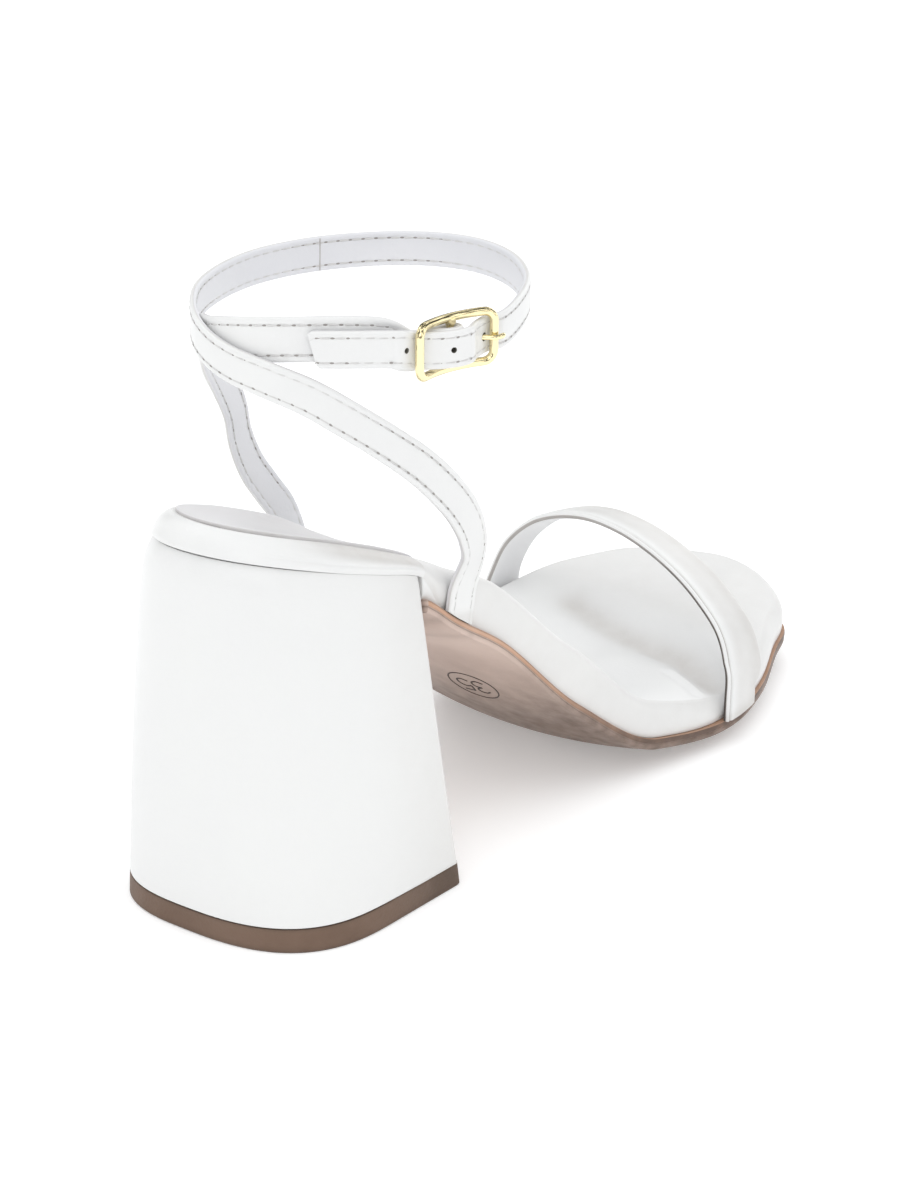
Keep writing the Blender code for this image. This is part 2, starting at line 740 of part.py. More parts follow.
def make_insole_sock():
    """The thin heel sock that lies on the bed, with a rounded front end."""
    sides = []
    for side in SIDES:
        path = OUTLINES[side]
        drawn = drawn_in(path[path[:, 0] < SOLE_LENGTH / 2], SOCK_INSET)
        straight = between(drawn, drawn[0, 0], SOCK_LENGTH * (1 - SOCK_ROUND), SEAT_STATIONS)
        straight[0, 1] = 0.0
        turn = np.linspace(0, math.pi / 2, 6)[1:]
        arc_x = straight[-1, 0] + SOCK_LENGTH * SOCK_ROUND * np.sin(turn)
        arc = np.stack([arc_x, straight[-1, 1] * np.cos(turn)], axis=1)
        arc[-1, 1] = 0.0
        sides.append(np.vstack([straight, arc]))
    edge = closed_ring(*sides)
    middle = np.clip(edge[:, 0], 0.40 * SOCK_LENGTH, 0.70 * SOCK_LENGTH)
    middle = np.stack([middle, np.zeros(len(edge))], axis=1)

    def level(share, lift):
        points = middle + (edge - middle) * share
        return with_height(points, bed_height(*points.T) + SOCK_CLEARANCE + lift)

    rings = [level(share, 0.0) for share in SOCK_RINGS]
    rings += [level(share, SOCK_THICKNESS) for share in reversed(SOCK_RINGS)]
    return skin("insole_sock", rings)


def loop_point(row):
    """(x, y, z, normal x, normal y, normal z) of a row of a strap round the ankle."""
    angle = math.radians(row.around)
    half = np.array([LOOP_LENGTH / 2, LOOP_WIDTH / 2])
    place = np.array([math.cos(angle), math.sin(angle)])
    normal = unit(place / half)
    xy = np.array([LOOP_CENTRE_X, LOOP_CENTRE_Y]) + half * place * row.out
    xy = xy + normal * row.lift * STRAP_THICKNESS
    return np.array([*xy, row.rise * LOOP_HEIGHT, *normal, 0.0])


def anchor_rows(x, side, width, thickness, lean=0.0):
    """The rows of a strap's foot, flat against the footbed's wall and standing on the outsole."""
    sign = SIDES[side]
    rear, front = half_width(x - width / 2, side), half_width(x + width / 2, side)
    bulge = max(float(half_width(x, side)) - (rear + front) / 2, 0.0)
    normal = unit(np.array([rear - front, sign * width, 0.0]))
    y = sign * ((rear + front) / 2 + bulge + GAP + thickness / 2)
    z = float(tread_edge(np.array(x))) + OUTSOLE_THICKNESS + GAP
    return [
        np.array([x + share * lean, y, z + share * FOOTBED_WALL, *normal]) for share in ANCHOR_RISE
    ]


class BuckleFrame:
    """Axes of the buckle: along the strap, out from the ankle, and up, from the centre bar."""

    def __init__(self):
        row = Wrap(BUCKLE_AROUND, 1.0, BUCKLE_RISE / LOOP_HEIGHT, 0.0)
        place = loop_point(row)
        self.out = place[3:]
        self.up = np.array([0.0, 0.0, 1.0])
        self.along = unit(np.cross(self.out, self.up)) * -1.0
        self.centre = place[:3] - self.out * BUCKLE_SINK

    def point(self, along, out, up=0.0):
        """A world point from distances along the three axes."""
        return self.centre + self.along * along + self.out * out + self.up * up

    def strap_row(self, along, out, facing=None, up=0.0):
        """A row of a strap's middle line at the buckle."""
        return np.concatenate([self.point(along, out, up), self.out if facing is None else facing])


BUCKLE = BuckleFrame()
SIDE_BAR = BUCKLE_LENGTH / 2 - BUCKLE_WIRE / 2
FOLD_RADIUS = BAR_RADIUS + GAP + STRAP_THICKNESS / 2
OVER_FOLD = FOLD_RADIUS + STRAP_THICKNESS + GAP
UNDER_SIDE_BAR = BUCKLE_ARCH - BUCKLE_WIRE / 2 - GAP - STRAP_THICKNESS / 2
ON_THE_RISE = UNDER_SIDE_BAR + 0.55 * (OVER_FOLD - UNDER_SIDE_BAR)
PAST_SIDE_BAR = SIDE_BAR + 2.5 * STRAP_THICKNESS


def arch_out(along):
    """How far the curved frame stands out at a distance from the centre bar."""
    return BUCKLE_ARCH * (along / SIDE_BAR) ** 2


def ribbon(name, rows, section, width, thickness, feet=(True, False), slant=0.0):
    """A strap: the section swept along the rows, with each foot cut to the outsole.

    The width is one value, or a function of the distances from the near end and to the far end.
    The slant is the far end's length against its width.
    """
    path = curve(rows)
    tangent = unit(np.gradient(path[:, :3], axis=0))
    bend = np.degrees(np.arccos(np.clip((tangent[1:] * tangent[:-1]).sum(axis=1), -1, 1)))
    turned = np.concatenate([[0.0], np.cumsum(bend)])
    measure = lengths(path) / STRAP_STEP + turned / STRAP_TURN
    count = int(math.ceil(measure[-1])) + 1
    path = resample(path, measure, count)
    along = lengths(path)
    tangent = unit(np.gradient(path[:, :3], along, axis=0))
    facing = unit(path[:, 3:] - (path[:, 3:] * tangent).sum(axis=1, keepdims=True) * tangent)
    sideways = np.cross(tangent, facing)
    half = (width(along, along[-1] - along) if callable(width) else np.full(count, width)) / 2
    lean = slant * np.clip(1 - np.arange(count)[::-1] / 2, 0.0, 1.0)
    mesh = bmesh.new()
    rings = []
    for i in range(count):
        points = [
            path[i, :3]
            + (sideways[i] + tangent[i] * lean[i]) * corner.across * half[i]
            + facing[i] * corner.out * thickness / 2
            for corner in section
        ]
        if (i == 0 and feet[0]) or (i == count - 1 and feet[1]):
            for point in points:
                point[2] = float(tread_edge(np.array(point[0]))) + OUTSOLE_THICKNESS + GAP
        rings.append([mesh.verts.new(point) for point in points])
    for low, high in zip(rings[:-1], rings[1:]):
        join_rings(mesh, low, high)
    mesh.faces.new(rings[0])
    mesh.faces.new(rings[-1])
    return finished(name, mesh)


def front_strap():
    """The strap from the outer waist, up and round the ankle, through the buckle to its free tip."""
    foot = (LATERAL_ANCHOR_X, "lateral", FRONT_STRAP_FOOT_WIDTH, STRAP_THICKNESS)
    rows = anchor_rows(*foot, lean=LATERAL_ANCHOR_LEAN)
    rows += [loop_point(row) for row in FRONT_STRAP_RISE]
    rows += [
        BUCKLE.strap_row(PAST_SIDE_BAR, UNDER_SIDE_BAR),
        BUCKLE.strap_row(SIDE_BAR, UNDER_SIDE_BAR),
        BUCKLE.strap_row(HOLE_FROM_BAR, ON_THE_RISE),
        BUCKLE.strap_row(FOLD_RADIUS, OVER_FOLD),
        BUCKLE.strap_row(-FOLD_RADIUS, OVER_FOLD),
        BUCKLE.strap_row(-0.55 * SIDE_BAR, ON_THE_RISE),
        BUCKLE.strap_row(-SIDE_BAR, UNDER_SIDE_BAR, up=TAIL_RISE / 3),
        BUCKLE.strap_row(-PAST_SIDE_BAR, UNDER_SIDE_BAR, up=TAIL_RISE),
    ]
    rows += [loop_point(row) for row in FRONT_STRAP_TAIL]

    def tapered(from_foot, to_end):
        wide = np.clip(1 - from_foot / FRONT_FOOT_TAPER, 0.0, 1.0)
        return FRONT_STRAP_WIDTH + (FRONT_STRAP_FOOT_WIDTH - FRONT_STRAP_WIDTH) * wide

    return ribbon("ankle_straps", rows, FLAT_SECTION, tapered, STRAP_THICKNESS, slant=TIP_SLANT)


def back_strap():
    """The strap from the inner waist, up and round the back of the ankle, folded round the bar."""
    rows = anchor_rows(MEDIAL_ANCHOR_X, "medial", BACK_STRAP_FOOT_WIDTH, STRAP_THICKNESS)
    rows += [loop_point(row) for row in BACK_STRAP_RISE]
    below = UNDER_SIDE_BAR - STRAP_THICKNESS - GAP
    rows += [
        BUCKLE.strap_row(-SIDE_BAR, below),
        BUCKLE.strap_row(-0.5 * SIDE_BAR, 0.55 * below + 0.45 * FOLD_RADIUS),
        BUCKLE.strap_row(-1.25 * STRAP_THICKNESS, 0.96 * FOLD_RADIUS),
    ]
    for degrees in range(90, -91, -30):
        turn = math.radians(degrees)
        facing = BUCKLE.along * math.cos(turn) + BUCKLE.out * math.sin(turn)
        place = (FOLD_RADIUS * math.cos(turn), FOLD_RADIUS * math.sin(turn))
        rows.append(BUCKLE.strap_row(*place, facing))
    inward = -BUCKLE.out
    rows += [
        BUCKLE.strap_row(-1.375 * STRAP_THICKNESS, -1.06 * FOLD_RADIUS, inward),
        BUCKLE.strap_row(-FOLD_RETURN, -1.42 * FOLD_RADIUS, inward),
    ]

    def tapered(from_foot, to_end):
        wide = np.clip(1 - (TAPER_START - to_end) / TAPER_LENGTH, 0.0, 1.0)
        buckle_end = BUCKLE_END_WIDTH + (BACK_STRAP_WIDTH - BUCKLE_END_WIDTH) * wide
        wide = np.clip(from_foot / FOOT_TAPER, 0.0, 1.0)
        foot_end = BACK_STRAP_FOOT_WIDTH + (BACK_STRAP_WIDTH - BACK_STRAP_FOOT_WIDTH) * wide
        return np.minimum(foot_end, buckle_end)

    return ribbon("back_strap", rows, FLAT_SECTION, tapered, STRAP_THICKNESS)


def box(name, centre, axes, sizes):
    """A box with its own axes."""
    mesh = bmesh.new()
    halves = [axis * size / 2 for axis, size in zip(axes, sizes)]
    for a in (-1, 1):
        for b in (-1, 1):
            for c in (-1, 1):
                mesh.verts.new(centre + halves[0] * a + halves[1] * b + halves[2] * c)
    bmesh.ops.convex_hull(mesh, input=mesh.verts)
    return finished(name, mesh)


def rod(name, points, radius, guide, sides=10, closed=False):
    """A round rod through the points, with flat ends or closed on itself.

    The guide is a direction that the rod never runs along.
    """
    points = np.asarray(points, float)
    if closed:
        tangent = unit(np.roll(points, -1, axis=0) - np.roll(points, 1, axis=0))
    else:
        tangent = unit(np.gradient(points, axis=0))
    turns = 2 * math.pi * np.arange(sides) / sides
    mesh = bmesh.new()
    rings = []
    for point, heading in zip(points, tangent):
        first = unit(guide - heading * (guide @ heading))
        second = np.cross(heading, first)
        spokes = [first * math.cos(turn) + second * math.sin(turn) for turn in turns]
        rings.append([mesh.verts.new(point + spoke * radius) for spoke in spokes])
    for low, high in zip(rings[:-1], rings[1:]):
        join_rings(mesh, low, high)
    if closed:
        join_rings(mesh, rings[-1], rings[0])
    else:
        mesh.faces.new(rings[0])
        mesh.faces.new(rings[-1])
    return finished(name, mesh)


def combine(target, other, operation):
    """Joins or cuts with a helper, which stays out of the part."""
    other.hide_render = True
    other.display_type = "WIRE"
    modifier = target.modifiers.new(other.name, "BOOLEAN")
    modifier.object = other
    modifier.operation = operation
    modifier.solver = "EXACT"


def make_ankle_straps():
    """Both ankle straps as one piece, tacked where they cross, with the prong's hole and slot."""
    straps = front_strap()
    combine(straps, back_strap(), "UNION")
    place = loop_point(Wrap(CROSSING_AROUND, 1.0, CROSSING_RISE, -0.6))
    normal = place[3:]
    axes = (np.cross(normal, BUCKLE.up), normal, BUCKLE.up)
    tack = box("tack", place[:3], axes, (TACK_LENGTH, 1.3 * STRAP_THICKNESS, TACK_HEIGHT))
    combine(straps, tack, "UNION")
    ends = [
        BUCKLE.point(HOLE_FROM_BAR - 0.8 * STRAP_THICKNESS, ON_THE_RISE - STRAP_THICKNESS),
        BUCKLE.point(HOLE_FROM_BAR + 1.2 * STRAP_THICKNESS, ON_THE_RISE + 1.25 * STRAP_THICKNESS),
    ]
    combine(straps, rod("prong_hole", ends, PRONG_HOLE_RADIUS, BUCKLE.up), "DIFFERENCE")
    front = FOLD_RADIUS + STRAP_THICKNESS
    rear = -1.3 * FOLD_RADIUS
    middle = BUCKLE.point((rear + front) / 2, 0.0)
    through = 2 * FOLD_RADIUS + STRAP_THICKNESS + GAP
    slot_axes = (BUCKLE.along, BUCKLE.out, BUCKLE.up)
    slot = box("prong_slot", middle, slot_axes, (front - rear, through, PRONG_SLOT_WIDTH))
    combine(straps, slot, "DIFFERENCE")
    return straps


def make_buckle_frame():
    """The rounded frame, curved over the ankle, with its centre bar."""
    radius = BUCKLE_WIRE / 2
    half_length, half_height = SIDE_BAR, BUCKLE_HEIGHT / 2 - radius
    corner = BUCKLE_CORNER - radius / 2
    outline = []
    for side_x, side_y, start in ((1, 1, 0), (-1, 1, 90), (-1, -1, 180), (1, -1, 270)):
        for degrees in range(start, start + 91, 30):
            turn = math.radians(degrees)
            along = side_x * (half_length - corner) + corner * math.cos(turn)
            outline.append([along, side_y * (half_height - corner) + corner * math.sin(turn)])
        if side_x == side_y:
            for share in (0.5, 0.0, -0.5):
                outline.append([side_x * share * (half_length - corner), side_y * half_height])
    centre_line = [BUCKLE.point(along, arch_out(along), up) for along, up in outline]
    frame = rod("buckle_frame", centre_line, radius, BUCKLE.out, closed=True)
    ends = [BUCKLE.point(0.0, 0.0, up) for up in (-half_height, half_height)]
    combine(frame, rod("centre_bar", ends, BAR_RADIUS, BUCKLE.out), "UNION")
    return frame


def make_buckle_prong():
    """The prong: a ring round the centre bar and a tongue through the strap, over the front bar."""
    ring_radius = BAR_RADIUS + GAP + PRONG_RADIUS
    rest = BUCKLE_ARCH + BUCKLE_WIRE / 2 + GAP + PRONG_RADIUS
    points = []
    for degrees in range(-20, -331, -22):
        turn = math.radians(degrees)
        points.append(BUCKLE.point(ring_radius * math.cos(turn), ring_radius * math.sin(turn)))
    tongue = [
        (0.55 * HOLE_FROM_BAR, 0.72 * ring_radius),
        (HOLE_FROM_BAR, ON_THE_RISE),
        (0.83 * SIDE_BAR, 0.98 * rest),
        (SIDE_BAR, rest),
        (SIDE_BAR + 0.6 * BUCKLE_WIRE, rest),
    ]
    points += [BUCKLE.point(*place) for place in tongue]
    return rod("buckle_prong", points, PRONG_RADIUS, BUCKLE.up, sides=8)


def make_toe_strap():
    """The strap over the toes, with a rolled rear edge."""
    feet = ((TOE_STRAP_LATERAL_X, "lateral"), (TOE_STRAP_MEDIAL_X, "medial"))
    outer, inner = (anchor_rows(*foot, TOE_STRAP_WIDTH, TOE_STRAP_THICKNESS) for foot in feet)
    stretch = TOE_STRAP_MEDIAL_X - TOE_STRAP_LATERAL_X
    low = min(outer[0][2], inner[0][2])
    middle = (outer[0][1] + inner[0][1]) / 2
    reach = (inner[0][1] - outer[0][1]) / 2
    x = [TOE_STRAP_LATERAL_X + stretch * row.forward for row in TOE_STRAP]
    y = [middle + reach * row.across for row in TOE_STRAP]
    z = [low + TOE_STRAP_RISE * row.rise for row in TOE_STRAP]
    places = np.stack([x, y, z], axis=1)
    rows = list(outer)
    for place, heading, row in zip(places, unit(np.gradient(places, axis=0)), TOE_STRAP):
        tilt = math.radians(TOE_STRAP_TILT * row.tilt)
        forward = np.array([math.cos(tilt), 0.0, -math.sin(tilt)])
        rows.append(np.concatenate([place, unit(np.cross(forward, heading))]))
    rows += reversed(inner)
    both = (True, True)
    return ribbon("toe_strap", rows, ROLLED_SECTION, TOE_STRAP_WIDTH, TOE_STRAP_THICKNESS, both)


class Finish(NamedTuple):
    """Colour and finish of a piece."""

    colour: tuple
    roughness: float
    metallic: float


WHITE = Finish((0.86, 0.86, 0.85), 0.42, 0.0)
SOCK = Finish((0.84, 0.84, 0.84), 0.50, 0.0)
TAN = Finish((0.34, 0.24, 0.19), 0.62, 0.0)
BROWN = Finish((0.20, 0.12, 0.08), 0.55, 0.0)
GOLD = Finish((0.86, 0.72, 0.38), 0.18, 1.0)


def paint(piece, finish):
    """Gives a piece a material of its own."""
    material = bpy.data.materials.new(piece.name)
    material.use_nodes = True
    shader = material.node_tree.nodes["Principled BSDF"]
    shader.inputs["Base Color"].default_value = (*finish.colour, 1.0)
    shader.inputs["Roughness"].default_value = finish.roughness
    shader.inputs["Metallic"].default_value = finish.metallic
    piece.data.materials.append(material)


def stand_on_origin(pieces):
    """Moves the pieces and their helpers so that the origin is the middle of the box's underside."""
    points = np.array([vertex.co[:] for piece in pieces for vertex in piece.data.vertices])
    low, high = points.min(axis=0), points.max(axis=0)
    shift = [-(low[0] + high[0]) / 2, -(low[1] + high[1]) / 2, -low[2]]
    for made in bpy.context.scene.objects:
        made.location = shift


def main():
    """Builds the sandal from the floor up."""
    for old in list(bpy.data.objects):
        bpy.data.objects.remove(old, do_unlink=True)
    pieces = {
        make_heel_top_piece: BROWN,
        make_heel_block: WHITE,
        make_outsole: TAN,
        make_footbed: WHITE,
        make_insole_sock: SOCK,
        make_toe_strap: WHITE,
        make_ankle_straps: WHITE,
        make_buckle_frame: GOLD,
        make_buckle_prong: GOLD,
    }
    made = []
    for make, finish in pieces.items():
        piece = make()
        paint(piece, finish)
        made.append(piece)
    stand_on_origin(made)


main()
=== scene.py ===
"""Looks of a white open-toe block-heel sandal for the right foot, dressed over its CAD frame.

Metres: +X runs from heel to toe, +Y to the inner side of the foot and +Z up. Every piece is worked
out on the last, whose back stands at x = 0, and is moved to the frame's origin when it is made.
"""

import logging
import math
from dataclasses import dataclass, field
from enum import Enum
from functools import cached_property
from typing import Callable, NamedTuple, Optional, Sequence

import bmesh
import bpy
import numpy as np
from mathutils import Matrix, Vector


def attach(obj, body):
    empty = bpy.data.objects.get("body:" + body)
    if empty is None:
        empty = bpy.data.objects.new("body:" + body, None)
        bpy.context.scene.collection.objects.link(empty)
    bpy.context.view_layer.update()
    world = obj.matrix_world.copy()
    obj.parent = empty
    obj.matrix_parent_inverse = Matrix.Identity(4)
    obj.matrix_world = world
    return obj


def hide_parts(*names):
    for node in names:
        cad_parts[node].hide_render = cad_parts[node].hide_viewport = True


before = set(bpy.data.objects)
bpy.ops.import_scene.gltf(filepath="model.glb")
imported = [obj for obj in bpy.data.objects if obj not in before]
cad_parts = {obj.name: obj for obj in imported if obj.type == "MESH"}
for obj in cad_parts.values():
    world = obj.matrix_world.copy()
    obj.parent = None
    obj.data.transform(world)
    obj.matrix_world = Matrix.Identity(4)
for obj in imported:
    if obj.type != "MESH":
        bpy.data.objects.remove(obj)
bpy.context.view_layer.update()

LOG = logging.getLogger("sandal")
Array = np.ndarray
Pair = tuple[float, float]
Triple = tuple[float, float, float]
Colour = Triple
Values = dict[object, object]
Node = bpy.types.Node
Socket = bpy.types.NodeSocket
Piece = bpy.types.Object

# From the last's frame to the part's.
ORIGIN = np.array([-0.103405, -0.000228, 0.0])
# The clearance between two pieces, and the least half width that a share is taken of.
GAP = 0.0003
LEAST_WIDTH = 0.0001
UP = np.array([0.0, 0.0, 1.0])


class Side(Enum):
    """The two sides of the foot, with the sign of y on each."""

    LATERAL = -1.0
    MEDIAL = 1.0


class Station(NamedTuple):
    """One cross-section of the last, as shares of the sizes that it follows."""

    along: float
    pitch: float
    spring: float
    crown: float
    wall: float
    ridge: float
    arch: float
    dish: float
    lean: float
    slump: float


STATIONS = (
    Station(0.00, 0.982, 0.0, 1.0, 0.97, 1.00, 0.00, 0.36, 1.00, 0.00),
    Station(0.05, 0.948, 0.0, 1.0, 0.96, 1.00, 0.00, 0.37, 0.85, 0.00),
    Station(0.12, 0.892, 0.0, 1.0, 0.91, 0.97, 0.00, 0.38, 0.22, 0.00),
    Station(0.17, 0.850, 0.0, 1.0, 0.84, 0.92, 0.00, 0.35, 0.00, 0.00),
    Station(0.22, 0.804, 0.0, 1.0, 0.75, 0.84, 0.04, 0.32, 0.00, 0.00),
    Station(0.27, 0.700, 0.0, 1.0, 0.94, 0.68, 0.16, 0.38, 0.00, -0.05),
    Station(0.35, 0.556, 0.0, 1.0, 1.00, 0.52, 0.42, 0.55, 0.00, -0.28),
    Station(0.47, 0.244, 0.0, 1.0, 1.00, 0.42, 1.00, 0.95, 0.00, -0.33),
    Station(0.59, 0.030, 0.0, 1.0, 1.00, 0.40, 0.64, 1.00, 0.00, 0.27),
    Station(0.69, 0.000, 0.0, 1.0, 1.00, 0.40, 0.17, 1.00, 0.00, 0.60),
    Station(0.79, 0.000, 0.5, 0.6, 1.00, 0.40, 0.00, 0.80, 0.00, 0.60),
    Station(0.89, 0.000, 1.0, 0.2, 1.00, 0.40, 0.00, 0.55, 0.00, 0.50),
    Station(1.00, 0.000, 1.0, 0.0, 1.00, 0.40, 0.00, 0.35, 0.00, 0.20),
)


class Width(NamedTuple):
    """One pair of points of the outline: a share of the length, and of the ball's width."""

    along: float
    lateral: float
    medial: float


WIDTHS = (
    Width(0.008, 0.109, 0.105),
    Width(0.030, 0.202, 0.194),
    Width(0.060, 0.265, 0.254),
    Width(0.120, 0.311, 0.297),
    Width(0.230, 0.331, 0.307),
    Width(0.350, 0.334, 0.296),
    Width(0.470, 0.379, 0.334),
    Width(0.590, 0.450, 0.440),
    Width(0.690, 0.493, 0.496),
    Width(0.790, 0.464, 0.490),
    Width(0.890, 0.353, 0.415),
    Width(0.945, 0.289, 0.340),
    Width(0.972, 0.205, 0.240),
    Width(0.990, 0.095, 0.145),
)


class Rim(NamedTuple):
    """One ring of the footbed's wall: shares of the ridge's inset, and of the wall's height."""

    inset: float
    leaning: float
    height: float


RIMS = (
    Rim(0.10, 0.28, 0.00),
    Rim(0.06, 0.30, 0.10),
    Rim(0.00, 0.40, 0.30),
    Rim(0.02, 0.56, 0.54),
    Rim(0.18, 0.75, 0.77),
    Rim(0.52, 0.91, 0.93),
    Rim(1.00, 1.00, 1.00),
)


class Flare(NamedTuple):
    """Shares of the heel's spread, from its top outline to the floor, at a share of its height."""

    depth: float
    lateral: float
    medial: float


FLARES = (
    Flare(0.00, 0.00, 0.00),
    Flare(0.17, 0.16, 0.40),
    Flare(0.35, 0.34, 0.64),
    Flare(0.65, 0.64, 0.88),
    Flare(1.00, 1.00, 1.00),
)


class Wrap(NamedTuple):
    """One point of an ankle strap: degrees round the loop, shares of its half sizes and height."""

    around: float
    out: float
    rise: float
    lift: float


FRONT_STRAP_RISE = (
    Wrap(-85, 0.895, 0.580, 0),
    Wrap(-89, 0.930, 0.628, 0),
    Wrap(-96, 0.955, 0.680, 0),
    Wrap(-104, 0.965, 0.727, 0),
    Wrap(-113, 0.970, 0.773, 0),
    Wrap(-125, 0.990, 0.823, 0),
    Wrap(-138, 1.000, 0.870, 0),
    Wrap(-151, 1.000, 0.908, 0),
    Wrap(-167, 1.000, 0.934, 0),
    Wrap(-182, 1.000, 0.948, 0),
    Wrap(-195, 1.000, 0.960, 0),
    Wrap(-209, 1.000, 0.974, 0),
    Wrap(-232, 1.000, 0.986, 0),
    Wrap(-250, 1.000, 0.992, 0),
    Wrap(-270, 1.000, 0.996, 0),
    Wrap(-290, 1.000, 0.996, 0),
    Wrap(-308, 1.000, 0.995, 0),
    Wrap(-327, 1.000, 0.995, 0),
    Wrap(-344, 1.000, 0.995, 0),
    Wrap(-361, 1.000, 0.994, 0),
    Wrap(-378, 1.000, 0.990, 0),
    Wrap(-395, 1.000, 0.984, 0),
    Wrap(-411, 1.000, 0.977, 0),
)
FRONT_STRAP_TAIL = (
    Wrap(-489, 1.000, 0.984, 0.15),
    Wrap(-499, 1.000, 0.987, 0.05),
    Wrap(-510, 1.000, 0.988, 0.00),
)
BACK_STRAP_RISE = (
    Wrap(81, 0.900, 0.550, 0.0),
    Wrap(88, 0.915, 0.600, 0.0),
    Wrap(95, 0.935, 0.650, -0.1),
    Wrap(100, 0.960, 0.708, -0.3),
    Wrap(103, 0.980, 0.766, -0.7),
    Wrap(111, 1.000, 0.830, -1.1),
    Wrap(123, 1.000, 0.888, -1.2),
    Wrap(140, 1.000, 0.948, -1.2),
    Wrap(160, 1.000, 0.970, -1.2),
    Wrap(182, 1.000, 0.989, -1.2),
    Wrap(203, 1.000, 0.999, -1.2),
    Wrap(221, 1.000, 1.000, -1.2),
    Wrap(235, 1.000, 0.990, -1.4),
)


class Arch(NamedTuple):
    """One point of the toe strap: across the foot, and shares of its rise, lead and tilt."""

    across: float
    rise: float
    forward: float
    tilt: float


TOE_ARCH = (
    Arch(-0.975, 0.34, 0.20, 0.15),
    Arch(-0.885, 0.54, 0.38, 0.42),
    Arch(-0.700, 0.71, 0.62, 0.70),
    Arch(-0.500, 0.84, 0.82, 0.85),
    Arch(-0.250, 0.955, 1.00, 0.95),
    Arch(0.000, 1.025, 1.15, 1.00),
    Arch(0.260, 1.045, 1.26, 1.00),
    Arch(0.500, 0.995, 1.31, 1.00),
    Arch(0.700, 0.89, 1.31, 1.00),
    Arch(0.880, 0.69, 1.24, 0.80),
    Arch(0.975, 0.44, 1.12, 0.40),
)


class Corner(NamedTuple):
    """One corner of a strap's section, as shares of its half width and half thickness."""

    across: float
    out: float


# Half of a sewn strap's face, from its middle to its edge, with the stitches' trough.
SEWN_FACE = (
    Corner(0.00, 1.06),
    Corner(0.30, 1.04),
    Corner(0.52, 0.99),
    Corner(0.60, 0.94),
    Corner(0.66, 0.86),
    Corner(0.72, 0.93),
    Corner(0.80, 0.98),
    Corner(0.90, 0.92),
    Corner(0.97, 0.66),
    Corner(1.00, 0.30),
    Corner(0.985, 0.06),
)
# The toe strap's section: a rolled rear edge, its sewn channel, the crowned face and the lining.
ROLLED_SECTION = (
    Corner(-1.00, 0.02),
    Corner(-0.995, 0.30),
    Corner(-0.970, 0.52),
    Corner(-0.930, 0.60),
    Corner(-0.895, 0.50),
    Corner(-0.875, 0.34),
    Corner(-0.850, 0.36),
    Corner(-0.825, 0.62),
    Corner(-0.780, 0.84),
    Corner(-0.60, 0.92),
    Corner(-0.30, 1.00),
    Corner(0.00, 1.02),
    Corner(0.40, 0.98),
    Corner(0.78, 0.82),
    Corner(0.95, 0.46),
    Corner(1.00, 0.05),
    Corner(0.95, -0.50),
    Corner(0.82, -0.86),
    Corner(0.40, -1.00),
    Corner(0.00, -1.00),
    Corner(-0.40, -1.00),
    Corner(-0.82, -0.96),
    Corner(-0.975, -0.62),
)


def unit(vectors: Array) -> Array:
    """Vectors of length 1, along the last axis."""
    return vectors / np.linalg.norm(vectors, axis=-1, keepdims=True)


def swell(distance: Array, width: float) -> Array:
    """A soft hump of height 1 at distance 0, which fades over the width."""
    return np.exp(-((distance / width) ** 2))


def ease(value: Array, start: float, end: float) -> Array:
    """0 before the start, 1 past the end and smooth between them."""
    share = np.clip((value - start) / (end - start), 0.0, 1.0)
    return share * share * (3 - 2 * share)


class Shade(NamedTuple):
    """An amount, mostly painted shade, that grows over a span: how much there is at its end, and
    where it starts and ends.
    """

    amount: float
    start: float
    end: float

    def at(self, value: Array) -> Array:
        """The amount at each value of what the span is measured on."""
        return self.amount * ease(value, self.start, self.end)


def through(stations: Sequence[float], values: Sequence[float], where: Array) -> Array:
    """Reads a monotone cubic through values at rising stations.

    Args:
        stations: Rising places.
        values: The value at each of them.
        where: Places to read it at.

    Returns:
        The values there.
    """
    x, y = np.asarray(stations, float), np.asarray(values, float)
    step, secant = np.diff(x), np.diff(y) / np.diff(x)
    slope = np.concatenate([secant[:1], np.zeros(len(x) - 2), secant[-1:]])
    for i in range(1, len(x) - 1):
        if secant[i - 1] * secant[i] > 0:
            before, after = 2 * step[i] + step[i - 1], step[i] + 2 * step[i - 1]
            slope[i] = (before + after) / (before / secant[i - 1] + after / secant[i])
    at = np.clip(np.asarray(where, float), x[0], x[-1])
    i = np.clip(np.searchsorted(x, at, side="right") - 1, 0, len(x) - 2)
    t = (at - x[i]) / step[i]
    start = (1 + 2 * t) * (1 - t) ** 2 * y[i] + t * (1 - t) ** 2 * step[i] * slope[i]
    end = t**2 * (3 - 2 * t) * y[i + 1] - t**2 * (1 - t) * step[i] * slope[i + 1]
    return start + end


